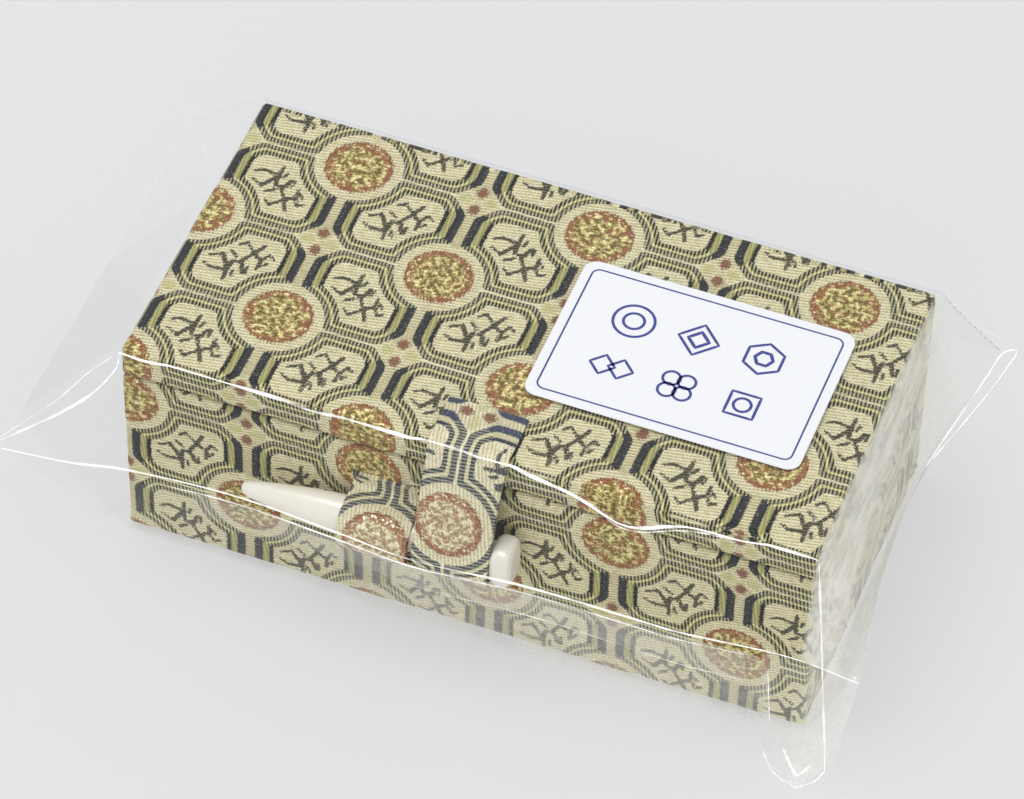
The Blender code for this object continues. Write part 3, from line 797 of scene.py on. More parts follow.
def strap(material):
    """Cloth tab from the lid's top, over the front edge and round the peg's neck."""
    low, high = corners("strap")
    x, half = (low.x + high.x) / 2, (high.x - low.x) / 2
    centre = (PEG_Y, PEG_Z)
    face, bend_radius = TOP + 0.1, 0.4
    turn = (-HALF_Y + bend_radius, face - bend_radius)
    gap = math.hypot(centre[0] - turn[0], centre[1] - turn[1])
    bearing = math.atan2(centre[1] - turn[1], centre[0] - turn[0])
    lean = (bearing - math.asin((SLEEVE_OUT - bend_radius - BAND) / gap) - math.pi / 2) % TAU
    over = arc(turn, bend_radius + BAND, math.pi / 2, lean, 8)
    wrap = arc(centre, SLEEVE_OUT, lean, lean + SLEEVE_TURN, 26)
    share = np.linspace(0.15, 0.85, 9)[:, None]
    outward = np.array([math.cos(lean), math.sin(lean)])
    run = over[-1] + (wrap[0] - over[-1]) * share + outward * 0.35 * np.sin(share * math.pi)
    path = np.concatenate([[[high.y, face + BAND]], over, run, wrap])

    def half_width(share):
        """Half the strap's width: it narrows a little over the edge and in its fold."""
        travel = share * STRAP_LENGTH
        narrowed = 0.03 * smooth_step(travel, 8, 14) + 0.07 * smooth_step(travel, 25.5, 31.5)
        return half * (1 - narrowed)

    obj = band_mesh("strap", path, x, half_width, material, STRAP_PHASE, 41)
    bend(obj, "strap")


def base_loop(material):
    """Cloth band on the base's front, arched over the peg."""
    low, high = corners("base_loop")
    x, half = (low.x + high.x) / 2, (high.x - low.x) / 2
    glued = -HALF_Y - 0.1 - BAND
    half_y = PEG_Y - low.y
    rise = arc((0, 0), 1.0, math.radians(80), math.radians(280), 28)
    rise = rise * (half_y, half_y + 0.6) + (PEG_Y, PEG_Z)
    feet = ((0, 0.6), (0, -0.9), (-0.5, -1.6))
    foot_high = [(glued + dy, high.z + dz) for dy, dz in feet]
    foot_low = [(glued + dy, low.z - dz) for dy, dz in feet[::-1]]
    path = np.concatenate([foot_high, rise, foot_low])
    obj = band_mesh("base_loop", path, x, lambda share: half + 0 * share, material, LOOP_PHASE, 43)
    settle(obj, "base", "base_loop")


def peg(material):
    """Bone peg: slim tip, smooth swell, waisted neck and a square head with soft edges."""
    tip, end = PEG_LOW.x, PEG_HIGH.x - 1.3
    neck = end - 3.2
    keys = np.array([
        (tip, 0.25, 0.3, 2.0), (tip + 0.25, 0.75, 0.9, 2.0), (tip + 1.2, 1.1, 1.35, 2.0),
        (tip + 5, 1.6, 2.0, 2.1), (tip + 10, 2.15, 2.75, 2.2), (tip + 14, 2.45, 3.1, 2.2),
        (tip + 19, 2.45, 3.1, 2.2), (tip + 25, 2.25, 2.45, 2.2), (neck - 0.5, 2.2, 2.35, 2.2),
        (neck, 2.2, 2.5, 2.6), (neck + 0.15, 2.35, 3.1, 3.2), (neck + 0.6, 2.55, 3.4, 3.8),
        (neck + 1.2, 2.6, 3.55, 4.2), (end - 1.0, 2.6, 3.55, 4.2), (end - 0.4, 2.4, 3.35, 3.8),
        (end - 0.05, 1.8, 2.8, 3.2), (end, 0.9, 1.7, 2.6),
    ])
    x = np.unique(through(keys[0, 0], *((key, 7) for key in keys[1:, 0])))
    half_y, half_z, power = (np.interp(x, keys[:, 0], column) for column in keys[:, 1:].T)
    for values in (half_y, half_z):
        values[2:-2] = np.convolve(values, [0.1, 0.2, 0.4, 0.2, 0.1], "same")[2:-2]
    angle = np.linspace(0, TAU, 56, endpoint=False)
    c, s = np.cos(angle), np.sin(angle)
    square = 2 / power[:, None]
    y = PEG_Y + half_y[:, None] * np.sign(c) * np.abs(c) ** square
    z = PEG_Z + PEG_LIFT + half_z[:, None] * np.sign(s) * np.abs(s) ** square
    z += PEG_SLOPE * (x[:, None] - PEG_LEVEL_X)
    obj = add_mesh("peg", tube(stacked(x[:, None], y, z)), material)
    settle(obj, "toggle", "toggle_peg")


# Inside of the box

# The pads are simulated ten times as large; their points may move a share of the way sideways.
CLOTH_SCALE, CLOTH_FRAMES, CLOTH_PRESSURE, SIDEWAYS_SHARE = 10.0, 15, 4.0, 0.3


def soft_pad(name, levels, voxel, cap, low, high, material, side, hold=None):
    """A padded form swollen by cloth simulation, held inside its box and near its start."""
    to_scene = MM * CLOTH_SCALE
    rings = [[(-x, -y, z), (x, -y, z), (x, y, z), (-x, y, z)] for x, y, z in levels]
    obj = add_mesh(name, tube(np.array(rings) * CLOTH_SCALE), material)
    bpy.context.view_layer.objects.active = obj
    remesh = obj.modifiers.new("remesh", "REMESH")
    remesh.mode = "VOXEL"
    remesh.voxel_size = voxel * to_scene
    remesh.use_smooth_shade = True
    with bpy.context.temp_override(object=obj, active_object=obj):
        bpy.ops.object.modifier_apply(modifier=remesh.name)
    points = vectors(obj.data.vertices, "co")
    cloth = obj.modifiers.new("cloth", "CLOTH")
    cloth.settings.use_pressure = True
    cloth.settings.uniform_pressure_force = CLOTH_PRESSURE
    cloth.settings.effector_weights.gravity = 0.0
    cloth.settings.quality = 5
    for number in range(CLOTH_FRAMES):
        bpy.context.scene.frame_set(number + 1)
    swollen = obj.evaluated_get(bpy.context.evaluated_depsgraph_get()).data
    move = vectors(swollen.vertices, "co") - points
    obj.modifiers.remove(cloth)
    bpy.context.scene.frame_set(1)
    move[:, :2] *= SIDEWAYS_SHARE
    move[:, 2] = side * np.maximum(side * move[:, 2], 0)
    length = np.linalg.norm(move, axis=1, keepdims=True)
    limit = cap * to_scene
    if hold is not None:
        limit = limit * hold(points / to_scene)[:, None]
    points = points + move * np.minimum(1, limit / np.maximum(length, 1e-9))
    points = np.clip(points / CLOTH_SCALE, np.array(low) * MM, np.array(high) * MM)
    obj.data.shade_smooth()
    move_points(obj.data, points)
    smooth = obj.modifiers.new("smooth", "SUBSURF")
    smooth.levels = smooth.render_levels = 1
    return obj


def bed(material):
    """Padded satin bed with a well that hugs the stick."""
    low, high = corners("bed_satin")
    stick_low, stick_high = corners("ink_stick")
    well_x, well_y = stick_high.x + 0.55, stick_high.y + 0.55
    floor_z = stick_low.z - 0.5
    levels = [
        (well_x, well_y, floor_z), (well_x, well_y, high.z - 0.6),
        (well_x + 0.9, well_y + 0.9, high.z + 0.4), (high.x - 0.8, high.y - 0.8, high.z + 0.4),
        (high.x + 0.15, high.y + 0.15, high.z - 0.1), (high.x + 0.15, high.y + 0.15, floor_z - 2),
    ]

    def hold(points):
        """The well moves less than the rest."""
        in_well = (np.abs(points[:, 0]) < well_x + 1) & (np.abs(points[:, 1]) < well_y + 1)
        return np.where(in_well, 0.25, 1.0)

    box_low = (low.x - 0.2, low.y - 0.2, floor_z - 2.2)
    box_high = (high.x + 0.2, high.y + 0.2, high.z + 1.3)
    obj = soft_pad("bed_satin_pad", levels, 1.1, 1.3, box_low, box_high, material, 1, hold)
    settle(obj, "base", "bed_satin")


def lid_pad(material):
    """Padded satin panel under the lid."""
    low, high = corners("lid_pad")
    levels = [
        (high.x - 1.2, high.y - 1.2, low.z + 0.25), (high.x - 0.2, high.y - 0.2, low.z + 1.0),
        (high.x - 0.2, high.y - 0.2, high.z - 0.05),
    ]
    obj = soft_pad("lid_satin_pad", levels, 0.9, 0.7, low, high, material, -1)
    settle(obj, "lid", "lid_pad")


def lining(material):
    """Satin round the base's inner walls, with soft upright creases."""
    low, high = corners("base_lining")
    around = rounded_outline(high.x - 0.3, high.y - 0.3, 1.0)
    loop, travel = path_points([*around, around[0]], 0.8)
    gt, gz = np.meshgrid(travel, np.linspace(low.z, high.z, 40))
    push = 0.1 * ripple(gt, gz * 0.25, 5, 9) * smooth_step(high.z - gz, 0.2, 3)
    pull = 1 - (0.12 + push) / np.hypot(loop[:, 0], loop[:, 1])
    shape = patch(stacked(loop[:, 0] * pull, loop[:, 1] * pull, gz), flip=True)
    settle(add_mesh("satin_walls", shape, material), "base", "base_lining")


def inner_hinge(material):
    """Satin strip folded into the back joint, where the lid opens."""
    low, high = corners("inner_hinge_satin")
    deep, near = HALF_Y - 0.75, low.y
    profile = [
        (near, low.z), (near, BASE_TOP - 0.3), (near + 0.4, BASE_TOP + 0.06),
        (deep, BASE_TOP + 0.08), (deep + 0.15, HINGE_HEIGHT), (deep, LID_LOW - 0.08),
        (near + 0.4, LID_LOW - 0.06), (near, LID_LOW + 0.3), (near, high.z),
    ]
    section, _ = path_points(profile, 0.3)
    shape = patch(stacked(np.linspace(low.x, high.x, 120), section[:, :1], section[:, 1:]))
    obj = add_mesh("hinge_satin", shape, material)
    bend(obj, "inner_hinge_satin")


def ink_stick(material):
    """Pressed ink bar: raised border, sunk panel, a chain of lozenges picked out in gilt."""
    low, high = corners("ink_stick")
    x, y, z = (spaced(a, b, pitch, 1.2) for a, b, pitch in zip(low, high, (0.45, 0.45, 0.6)))
    gx, gy = np.meshgrid(x, y)
    inset = np.minimum(high.x - np.abs(gx), high.y - np.abs(gy))
    sunk = smooth_step(inset, 1.7, 2.3)
    pitch = 12.0
    inner = np.abs((gx + pitch / 2) % pitch - pitch / 2) / 1.2 + np.abs(gy)
    outline = 1 - smooth_step(np.abs(inner - 3.4), 0.3, 0.6)
    lozenges = np.maximum(outline, 1 - smooth_step(inner, 0.9, 1.3))
    lozenges *= smooth_step(30.5 - np.abs(gx), 0, 0.4)
    line = 1 - smooth_step(np.abs(inset - 3.2), 0.15, 0.4)
    raised = np.maximum(lozenges, line) * sunk
    drop = 0.45 * sunk - 0.28 * raised
    panels = [
        patch(stacked(gx, gy, high.z - drop), gilt=raised),
        patch(stacked(gx, gy, low.z + drop), flip=True, gilt=0 * raised),
    ]
    for at, flip in ((low.x, True), (high.x, False)):
        along, up = np.meshgrid(y, z)
        panels.append(patch(stacked(at, along, up), flip, gilt=0 * up))
    for at, flip in ((low.y, False), (high.y, True)):
        along, up = np.meshgrid(x, z)
        panels.append(patch(stacked(along, at, up), flip, gilt=0 * up))
    shape = joined(panels)
    shape["points"] = round_box(shape["points"], low, high, 0.9)
    settle(add_mesh("stick", shape, material), "ink_stick", "ink_stick")


# Label

LABEL_LOW = TOP + 0.5


def polygon(x, y, radius, sides, turn=0.0, split=6):
    """A closed line round a polygon, with each side split into steps."""
    angle = np.linspace(0, TAU, sides, endpoint=False) + turn
    ends = stacked(x + radius * np.cos(angle), y + radius * np.sin(angle))
    t = np.linspace(0, 1, split, endpoint=False)[:, None]
    return np.concatenate([a + (b - a) * t for a, b in zip(ends, np.roll(ends, -1, axis=0))])


def circle(x, y, radius):
    return polygon(x, y, radius, 40, split=1)


def ornament(kind, x, y, size):
    """Closed lines of one plain geometric ornament, with their widths."""
    around = [(dx, dy) for dy in (-1.1, 1.1) for dx in (-1.1, 1.1)]
    return [
        [(circle(x, y, size), 0.42), (circle(x, y, size * 0.5), 0.42)],
        [(polygon(x, y, size, 4), 0.42), (polygon(x, y, size * 0.52, 4), 0.5)],
        [(polygon(x, y, size, 6, math.pi / 6), 0.42), (polygon(x, y, size * 0.45, 6), 0.5)],
        [(polygon(x + dx, y, size * 0.62, 4), 0.4) for dx in (-size * 0.45, size * 0.45)],
        [(circle(x + dx, y + dy, size * 0.42), 0.4) for dx, dy in around],
        [(polygon(x, y, size, 4, math.pi / 4), 0.42), (circle(x, y, size * 0.42), 0.42)],
    ][kind]


def ribbon(line, width, z):
    """A flat closed stroke of even width along a line of points."""
    tangent = unit(np.roll(line, -1, axis=0) - np.roll(line, 1, axis=0))
    side = stacked(-tangent[:, 1], tangent[:, 0]) * width / 2
    return tube(np.array([stacked(*edge.T, z) for edge in (line - side, line + side)]), caps=())


def label(paper, ink):
    """Paper label on the bag, with a printed border and two rows of geometric ornaments."""
    low, high = corners("label")
    centre, half = np.array(low + high)[:2] / 2, (high - low) / 2
    rings = []
    for scale, rise in ((1.0, 0), (0.995, 0.12), (0.7, 0.12), (0.35, 0.12)):
        ring = rounded_outline(half.x * scale, half.y * scale, 1.9 * scale) + centre
        rings.append(stacked(*ring.T, LABEL_LOW + rise))
    obj = add_mesh("label_paper", tube(np.array(rings), caps=(-1,)), paper)
    obj.data.shade_flat()
    flatten(settle(obj, "film_bag", "label"))

    strokes = [(rounded_outline(half.x - 1.5, half.y - 1.5, 1.1), 0.26)]
    for row, y in enumerate((4.4, -4.6)):
        for column, x in enumerate((-9.8, -0.4, 9.0)):
            strokes += ornament(row * 3 + column, x, y, 2.9)
    marks = joined([ribbon(line + centre, width, LABEL_LOW + 0.135) for line, width in strokes])
    flatten(settle(add_mesh("label_print", marks, ink), "film_bag"))


# Film bag

SEAM_Z = 17.3
FILM_TOP, FILM_LOW, TABLE = TOP + 0.38, 0.12, 0.05
BAG_LOW, BAG_HIGH = corners("film_bag")
FLAP_LEFT, FLAP_RIGHT = -45.5, 45.6
MOUTH_CURVE = curve_through([
    (-66.4, -31.2, 15.6), (-56, -31.0, 16.8), (-47, -31.1, 19.1), (-31, -31.9, 21.5),
    (-15, -33.6, 22.5), (-4, -34.2, 22.3), (12, -33.2, 22.7), (27, -31.7, 20.9),
    (34, -31.2, 20.4), (48, -29.8, 20.3), (58, -28.5, 17.6),
])
SEAM_CURVE = curve_through([
    (58.4, 38.0, 17.5), (56.6, 26, 17.5), (54.5, 11.4, 17.5), (54.2, 3, 17.4),
    (55.6, -13, 17.4), (57.9, -28.5, 17.5),
])[::-1]


def mouth_y(x):
    return np.interp(x, MOUTH_CURVE[:, 0], MOUTH_CURVE[:, 1])


def mouth_z(x):
    return np.interp(x, MOUTH_CURVE[:, 0], MOUTH_CURVE[:, 2])


def film_edge(x):
    """Where the film's front edge hangs, off the lid's edge and a little uneven."""
    slack = 2.1 * np.exp(-(((x - 23) / 7.5) ** 2)) + 0.35 * np.exp(-(((x - 41) / 4) ** 2))
    return -HALF_Y - 0.7 - slack - 0.2 * np.sin(x / 4.3) - 0.1 * np.sin(x / 1.9 + 1)


def past_right(x):
    """Share of the way from the box's right side to the bag's right edge."""
    return (x - HALF_X - 0.4) / (BAG_HIGH.x - HALF_X - 0.4)


def past_back(y):
    """From 0 on the box to 1 behind its back."""
    return smooth_step(y, HALF_Y - 6, HALF_Y + 2)


def film_height(x, y, upper):
    """Height of the pouch's upper or lower sheet over a point of its plan."""
    rest = FILM_TOP if upper else FILM_LOW
    left = (-HALF_X - 0.5 - x) / (-HALF_X - 0.5 - BAG_LOW.x)
    back = (y - HALF_Y - 0.5) / (BAG_HIGH.y - HALF_Y - 0.5)
    out = np.maximum(np.maximum(left, past_right(x)), back)
    soft = 0.03
    out = np.where(out > -0.3, soft * np.logaddexp(0, out / soft), 0)
    over_strap = smooth_step(x, -8, -5.5) * (1 - smooth_step(x, 7, 9.5)) * upper
    lift = 0.55 * over_strap * smooth_step(-y, 14.5, 16.5)
    return rest + lift + (SEAM_Z - rest) * np.minimum(out, 1.0)


def front_turn(x):
    """Rows of the film's turn over the lid's front edge, as pairs of y and z."""
    level = film_height(x, np.full_like(x, -HALF_Y), True)
    slope, steep = math.radians(50), math.radians(78)
    radius, low = 0.6, 0.45
    rows = []
    for angle in np.linspace(0, slope, 10):
        y = -HALF_Y + 0.1 - radius * math.sin(angle) + 0 * x
        rows.append((y, level - radius * (1 - math.cos(angle))))
    y, z = rows[-1]
    run = np.maximum(y - film_edge(x) - 0.35, 0.05)
    for share in (0.35, 0.7, 1.0):
        rows.append((y - run * share, z - run * share * math.tan(slope)))
    y, z = rows[-1]
    for angle in np.linspace(slope, steep, 5)[1:]:
        down = low * (math.cos(slope) - math.cos(angle))
        rows.append((y - low * (math.sin(angle) - math.sin(slope)), z - down))
    return rows


def pinch(points):
    """Draw the sheets in on the right, so that their edge follows the bowed seam."""
    x, y, z = np.moveaxis(points, -1, 0)
    seam = np.interp(y, SEAM_CURVE[:, 1], SEAM_CURVE[:, 0])
    return stacked(x + np.clip(past_right(x), 0, 1) * (seam - BAG_HIGH.x), y, z)


def side_haze(x, y):
    """Milky streaks where the film is crumpled against the box's right side, lit by the film's
    painted glow.
    """
    streaks = 0.5 + 0.5 * np.clip(ripple(4 * x, 0.3 * y, 61, 13), -1, 1)
    near = smooth_step(x, HALF_X - 0.4, HALF_X + 0.6)
    near = near * (1 - 0.5 * smooth_step(x, HALF_X + 3, HALF_X + 8)) * (1 - 0.9 * past_back(y))
    return near * (0.6 + 0.28 * streaks)


def plan_x(middle):
    """Columns of a sheet, close together at the box's sides, with some in the middle."""
    stops = ((-HALF_X - 2, 22), (-HALF_X + 1, 16), (HALF_X - 1, middle), (HALF_X + 2, 20))
    return np.round(through(BAG_LOW.x, *stops, (BAG_HIGH.x, 34)), 4)


def back_rows(*stops):
    """Rows of a sheet from the back fold on to the box, then through the given stops."""
    return through(BAG_HIGH.y, (HALF_Y + 1.6, 12), (HALF_Y - 1, 12), *stops)


def film_mesh(name, shape, material, body):
    """A piece of film on its body: it casts no shadow."""
    obj = settle(add_mesh(name, shape, material), body)
    obj.visible_shadow = False
    return flatten(obj)


def film_piece(name, points, haze, material, crumple=0.1, flip=False, body="film_bag"):
    """A sheet of film from a grid of points, with how milky and how crumpled it is."""
    haze, crumple, _ = np.broadcast_arrays(haze, crumple, points[..., 0])
    return film_mesh(name, patch(points, flip, haze=haze, crumple=crumple), material, body)


def film_upper(material):
    """Upper sheet: over the lid, down to the seams and the fold, and down the front."""
    x = plan_x(280)
    over = back_rows((-HALF_Y + 2, 60), (-HALF_Y + 1.2, 2), (-HALF_Y + 0.4, 2))
    gx, gy = np.meshgrid(x, over)
    crease_share = np.sin(np.clip(past_right(gx), 0, 1) * math.pi) * (1 - past_back(gy))
    gz = film_height(gx, gy, True) + 0.9 * ripple(5 * gx, 0.5 * gy, 71, 16) * crease_share
    gz = gz + 0.05 * ripple(gx, gy, 72, 16)

    # The front: a tight turn at the lid's edge, a slope where it hangs off, then a bowed fall.
    rows = [stacked(x, y, z) for y, z in front_turn(x)]
    start, end = rows[-1], stacked(x, mouth_y(x), mouth_z(x))
    sag = 0.8 * np.exp(-(((x + 5) / 16) ** 2))
    for t in np.linspace(0, 1, 26)[1:]:
        row = start + (end - start) * t
        wrinkle = 0.16 * ripple(x, np.full_like(x, 9 * t), 73, 12)
        row[:, 1] += math.sin(t * math.pi) * (wrinkle - sag)
        rows.append(row)
    points = np.concatenate([stacked(gx, gy, gz), rows])
    px, py = points[..., 0], points[..., 1]
    haze = side_haze(px, py)
    haze[len(over):] *= np.where(x > HALF_X - 0.5, 0.9, 0.3)
    crumple = 0.9 * smooth_step(px, HALF_X - 0.2, HALF_X + 1)
    crumple[len(over) - 2:len(over) + 12, np.abs(x) < HALF_X] = -1
    crumple[(px < -HALF_X - 0.5) & (py > 5)] = -1
    obj = film_piece("film_upper", pinch(points), haze, material, crumple)
    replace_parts(obj, "film_bag")


def film_lower(material):
    """Lower sheet: under the box and up to the seams and the back fold."""
    gx, gy = np.meshgrid(plan_x(60), back_rows((-HALF_Y - 0.7, 50)))
    crumple = smooth_step(gx, HALF_X + 0.5, HALF_X + 3) * smooth_step(BAG_HIGH.x - gx, 0, 2)
    gz = film_height(gx, gy, False) + crumple * ripple(4 * gx, 0.5 * gy, 75, 14) * 0.6
    points = pinch(stacked(gx, gy, np.maximum(gz, TABLE)))
    crumple = np.where((gx < -HALF_X - 0.5) & (gy > 5), -1, crumple)
    film_piece("film_lower", points, 0.4 * side_haze(gx, gy), material, crumple, flip=True)


def ruled(top, bottom, bulge, seed):
    """A sheet between two lines of points, with soft folds that fade out at its edges."""
    t = np.linspace(0, 1, 30)[:, None, None]
    points = bottom + (top - bottom) * t
    fade = np.sin(t[..., 0] * math.pi)
    points[..., 1] += bulge * ripple(points[..., 0] * 2.2, points[..., 2] * 0.7, seed, 9) * fade
    points[..., 2] = np.maximum(points[..., 2], 0.06)
    return points


def film_corners(material):
    """The front corners of the lower sheet, beside the flap; the right one spreads on the table."""
    low = 0.1
    top = curve_through([(-66.4, -31.2, 15.6), (-56, -31.1, 16.6), (FLAP_LEFT, -31.2, 19.4)], 12)
    foot = curve_through([(-51, -26.2, low), (-49, -26.3, low), (FLAP_LEFT, -26.4, low)], 12)
    film_piece("film_corner_left", ruled(top, foot, 0.3, 77), 0.03, material, 0.2)
    top = curve_through([(44.8, -30.4, 20.2), (51, -29.6, 19.8), (58, -28.5, 17.6)], 16)
    foot = curve_through([(46, -30.6, low), (52.3, -35.5, low), (55.8, -29, low)], 16)
    corner = ruled(top, foot, 0.9, 78)
    haze = 0.14 + 0.3 * smooth_step(corner[..., 0], 50, 53)
    film_piece("film_corner_right", corner, haze, material, 1.0)
    wall = curve_through([(46, -26.4, low), (51, -26.2, low), (51.2, -24, low)], 8)
    near, far = (line[np.linspace(0, len(line) - 1, 16).astype(int)] for line in (foot, wall))
    spread = near + (far - near) * np.linspace(0, 1, 12)[:, None, None]
    spread[..., 2] = low + 0.25 * np.abs(ripple(spread[..., 0], spread[..., 1], 79, 4))
    film_piece("film_foot_right", spread, 0.12, material, 0.8, flip=True)


def flap_points(x, depth_from_mouth, outside):
    """Points of the flap a given way below the mouth line, a little outside the bag's front."""
    z = mouth_z(x) - depth_from_mouth
    wall = -HALF_Y - 1.0
    return stacked(x, wall + (mouth_y(x) - outside - wall) * z / mouth_z(x), z)


def film_flap(material, tacky, fold):
    """Tail of the lower sheet, folded up over the mouth and stuck down along its free edge."""
    gx, gt = np.meshgrid(np.linspace(FLAP_LEFT, FLAP_RIGHT, 150), np.linspace(0, 1, 34))
    corner = 3.2
    into_corner = np.maximum(corner - np.minimum(gx - FLAP_LEFT, FLAP_RIGHT - gx), 0)
    drop = corner - np.sqrt(np.maximum(corner**2 - into_corner**2, 0))
    points = flap_points(gx, mouth_z(gx) - 0.3 - (mouth_z(gx) - 1.05 - drop) * gt, 0.55)
    points[..., 1] += 0.10 * ripple(gx, points[..., 2], 81, 14) * gt
    # Milkier to the right of the middle, and its milky veil carries the film's painted glow.
    milky = 0.02 + 0.27 * smooth_step(gx, -22, -3) * (0.75 + 0.25 * smooth_step(1 - gt, 0.3, 0.6))
    obj = film_piece("film_flap", points, milky, material, 0.06, body="film_flap")
    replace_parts(obj, "film_flap")

    gs, gw = np.meshgrid(np.linspace(-38, 42.5, 90), np.linspace(0, 1, 10))
    strip = flap_points(gs, 1.6 + 7.5 * gw, 0.40)
    obj = film_piece("flap_adhesive", strip, 0.04, tacky, 0.3, body="film_flap", flip=True)
    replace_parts(obj, "flap_adhesive")
    # The flap's lip and edges as thin beads with a painted highlight.
    for name, x, depth, outside, radius, haze in (
        ("flap_lip", np.linspace(-41, 42.5, 80), 1.4, 0.62, 0.07, 0.7),
        ("adhesive_edge", np.linspace(-9, 42, 60), 9.1, 0.62, 0.05, 0.45),
        ("flap_edge", np.full(12, FLAP_RIGHT), mouth_z(FLAP_RIGHT) - np.linspace(1, 16, 12),
         0.6, 0.09, 0.6),
    ):
        highlight_crease(name, flap_points(x, depth, outside), radius, fold, haze, "film_flap")


def highlight_crease(name, line, radius, material, haze, body="film_bag", taper=0.35):
    """A folded line of film: a thin bead along a line of points, finer at its ends, white with a
    painted highlight.
    """
    sides = 6
    tangent = unit(np.gradient(line, axis=0))
    across = unit(np.cross(tangent, (0.0, 0.0, 1.0)))
    up = np.cross(across, tangent)
    share = np.linspace(0, 1, len(line))
    size = taper + (1 - taper) * np.sin(share * math.pi) ** 0.4
    uneven = np.clip(ripple(share * 100, share, int(radius * 1000), 14), -1, 1.4)
    size = radius * size * (1 + 0.45 * uneven)
    angle = np.linspace(0, TAU, sides, endpoint=False)[:, None]
    ring = np.cos(angle) * across[:, None] + np.sin(angle) * up[:, None]
    rings = line[:, None] + size[:, None, None] * ring
    rings[..., 2] = np.maximum(rings[..., 2], TABLE)
    # Painted highlight strength, brighter and dimmer along the line.
    glow = 0.8 + 0.4 * ripple(share * 100, share, int(radius * 3000), 11)
    shape = tube(rings)
    shape["haze"] = np.repeat(haze * np.clip(glow, 0.25, 1.1), sides)
    shape["crumple"] = np.zeros(len(shape["points"]))
    film_mesh(name, shape, material, body)


# Single folds of the pouch: name, points, radius and how strong their painted highlight is.
FOLDS = (
    ("ear_left", ((-50.1, -26.1, 36.9), (-50.6, -26.3, 33.4), (-53.8, -27.3, 28.2),
                  (-57.8, -28.7, 24.2), (-61.7, -30.0, 21.1), (-66.3, -31.5, 17.6)), 0.14, 0.85),
    ("ear_left_back", ((-50.8, -26.2, 36.0), (-54.6, -27.4, 31.8), (-58.6, -28.9, 26.4),
                       (-66.3, -31.4, 18.2)), 0.06, 0.5),
    ("corner_right", ((50.4, -26.3, 36.7), (52.0, -28.6, 28.0), (53.8, -30.9, 16.0),
                      (54.9, -31.6, 6.0), (55.2, -31.4, 0.4)), 0.13, 0.5),
    ("corner_right_tip", ((55.2, -31.4, 0.4), (54.3, -33.6, 0.3), (52.3, -35.5, 0.3)), 0.1, 0.7),
    ("corner_right_low", ((52.3, -35.5, 0.3), (48.6, -33.9, 0.3), (46, -30.8, 0.3)), 0.08, 0.5),
    ("glint_a", ((49.4, -32.4, 3.8), (51.2, -33.6, 1.8), (52.0, -33.9, 0.9)), 0.2, 0.95),
    ("glint_b", ((53.6, -32.6, 2.6), (52.6, -33.6, 1.6), (52.0, -33.9, 0.9)), 0.17, 0.95),
    ("ear_back", ((-50.8, 26.0, 36.9), (-57.5, 28.5, 27.0), (-66.6, 33.0, 17.6)), 0.03, 0.1),
    ("ear_right", ((50.8, 26.0, 36.9), (54.0, 31.0, 27.0), (58.2, 37.6, 17.8)), 0.05, 0.25),
)


def film_creases(material):
    """Folds, welds and edges of the pouch, as thin beads whose bright lines are a painted
    highlight.
    """
    x = np.linspace(-50.2, 50.2, 260)
    rows = front_turn(x)
    y, z = rows[-3]
    highlight_crease("edge_crease", stacked(x, y - 0.05, z), 0.2, material, 0.95)
    y, z = rows[-1]
    hanging = slice(184, 226)
    low = stacked(x, y - 0.1, z)[hanging]
    low[:, 2] -= 0.1 + 0.6 * np.sin(np.linspace(0.2, math.pi, len(low)))
    highlight_crease("edge_crease_low", low, 0.1, material, 0.7)
    highlight_crease("mouth_lip", MOUTH_CURVE - (0, 0.1, 0), 0.13, material, 0.75, taper=0.6)
    left_y = np.linspace(-31.2, BAG_HIGH.y, 40)
    left = stacked(BAG_LOW.x - 0.1, left_y, SEAM_Z - 1.6 * smooth_step(-left_y, 24, 31))
    highlight_crease("seam_left", left, 0.04, material, 0.1)
    highlight_crease("seam_right", SEAM_CURVE, 0.08, material, 0.12)
    back = SEAM_CURVE[42:]
    opening = np.sin(np.linspace(0, math.pi, len(back)) * 0.62)[:, None] * (1.5, 0.2, -0.8)
    loop = curve_through(np.concatenate([back, (back + opening)[::-1]])[::5], 6)
    highlight_crease("seam_right_back", loop, 0.1, material, 0.7, taper=0.7)
    for name, points, radius, haze in FOLDS:
        highlight_crease(name, curve_through(points), radius, material, haze)


# Stage

# The camera solved on the photo: angles in degrees, lens in millimetres, lengths in metres.
CAMERA_AZIMUTH, CAMERA_ELEVATION, CAMERA_ROLL = 19.61, 48.44, 1.57
CAMERA_DISTANCE, CAMERA_LENS, CAMERA_SENSOR = 0.7756, 195.6, 36.0
CAMERA_TARGET = (-0.00285, 0.00087, 0.0186)
LIGHT_TARGET = (0, 0, 0.02)
# The floor's reach to each side and its depth under the part, in millimetres.
FLOOR_REACH, FLOOR_DROP = 3000, 0.2


def place_object(name, data):
    obj = bpy.data.objects.new(name, data)
    bpy.context.scene.collection.objects.link(obj)
    return obj


def floor():
    ends = (-FLOOR_REACH, FLOOR_REACH)
    points = np.array([[(x, y, 0) for x in ends] for y in ends])
    obj = add_mesh("floor", patch(points), floor_material())
    obj.location.z = -FLOOR_DROP * MM


def area_light(name, place, size, power):
    data = bpy.data.lights.new(name, "AREA")
    data.shape = "RECTANGLE"
    data.size, data.size_y = size
    data.energy = power
    obj = place_object(name, data)
    obj.location = place
    direction = Vector(LIGHT_TARGET) - Vector(place)
    obj.rotation_euler = direction.to_track_quat("-Z", "Y").to_euler()
    return obj


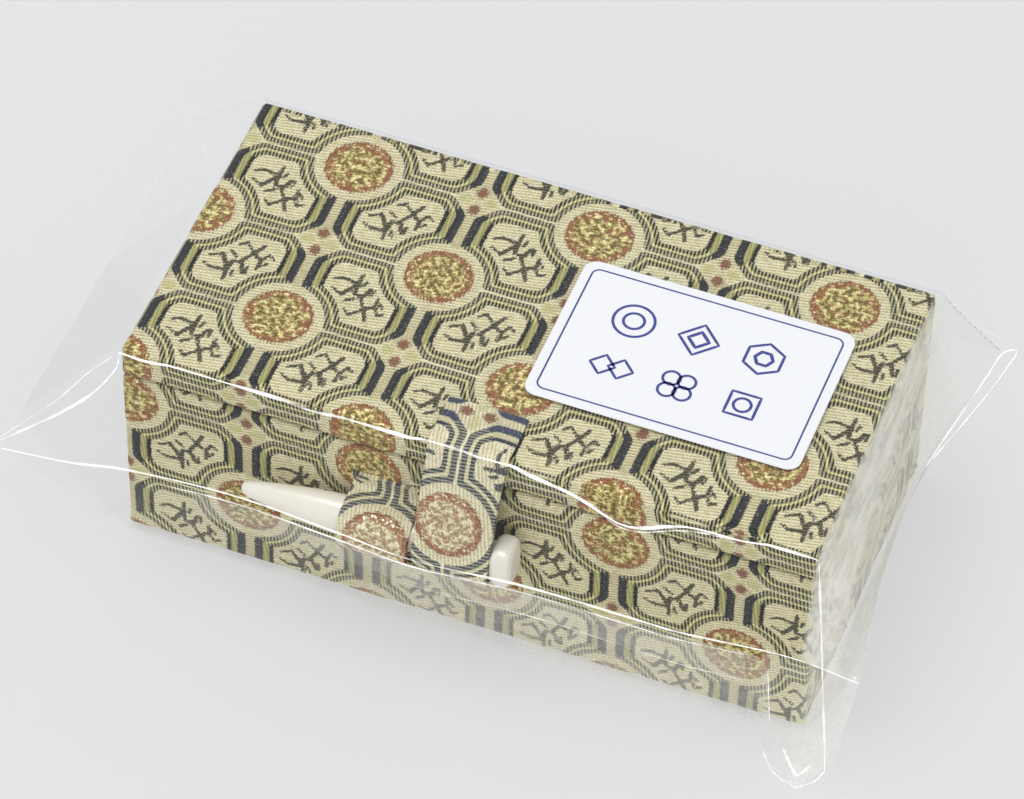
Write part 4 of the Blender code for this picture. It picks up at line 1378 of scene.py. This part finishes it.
def lights():
    """Soft studio light, and two reflectors that only show as gleams in glossy surfaces."""
    area_light("softbox_over", (-0.3, -0.05, 1.05), (0.6, 0.6), 3.0)
    area_light("softbox_front", (0.1, -1.1, 0.7), (0.8, 0.5), 1.3)
    gleam_over = area_light("gleam_over", (-0.2, -0.22, 0.9), (0.42, 0.2), 6.0)
    gleam_right = area_light("gleam_right", (0.75, 0.35, 0.42), (0.3, 0.3), 5.0)
    gleam_over.visible_diffuse = gleam_right.visible_diffuse = False
    world = bpy.data.worlds.new("studio")
    world.use_nodes = True
    background = world.node_tree.nodes["Background"]
    background.inputs["Color"].default_value = (0.96, 0.975, 1.0, 1)
    background.inputs["Strength"].default_value = 0.77
    bpy.context.scene.world = world


def camera():
    azimuth, elevation = math.radians(CAMERA_AZIMUTH), math.radians(CAMERA_ELEVATION)
    level = math.cos(elevation)
    back = Vector((math.sin(azimuth) * level, -math.cos(azimuth) * level, math.sin(elevation)))
    data = bpy.data.cameras.new("camera")
    data.lens = CAMERA_LENS
    data.sensor_width = CAMERA_SENSOR
    data.clip_start = 0.01
    obj = place_object("camera", data)
    roll = Matrix.Rotation(math.radians(CAMERA_ROLL), 4, "Z")
    turn = (-back).to_track_quat("-Z", "Y").to_matrix().to_4x4()
    spot = Vector(CAMERA_TARGET) + back * CAMERA_DISTANCE
    obj.matrix_world = Matrix.Translation(spot) @ turn @ roll
    bpy.context.scene.camera = obj


def paint(material, *nodes):
    """Give CAD nodes that show as they are their material."""
    for name in nodes:
        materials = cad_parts[name].data.materials
        materials.clear()
        materials.append(material)


def build():
    bpy.context.scene.view_settings.view_transform = "Standard"
    brocade = brocade_material("brocade", BOX_COLOURS)
    band_cloth = brocade_material("strap_brocade", STRAP_COLOURS, 0.4)
    satin = satin_material()
    boards = [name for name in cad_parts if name.endswith(("_board", "_rim"))]
    paint(board_material(), *boards)
    brown_low, brown_high = colour(196, 180, 138), colour(220, 206, 168)
    paint(paper_material("underside_paper", brown_low, brown_high, 0.85), "underside_paper")
    paint(foam_material(), "bed_foam")

    for cover in (lid_cloth, base_cloth, spine_cloth):
        cover(brocade)
    strap(band_cloth)
    base_loop(band_cloth)
    peg(bone_material())
    for padding in (bed, lid_pad, lining, inner_hinge):
        padding(satin)
    ink_stick(ink_material())

    # The fold material is the painted highlight on the film's creases.
    film, fold = film_material("clear_film", 0.003), fold_highlight_material()
    film_upper(film)
    film_lower(film)
    film_corners(film)
    film_flap(film, film_material("adhesive", 0.05, 0.25), fold)
    film_creases(fold)
    white_low, white_high = colour(240, 241, 244), colour(250, 250, 252)
    label(paper_material("label_paper", white_low, white_high, 0.35, 0.3), print_material())
    floor()
    lights()
    camera()


build()
bpy.context.view_layer.update()
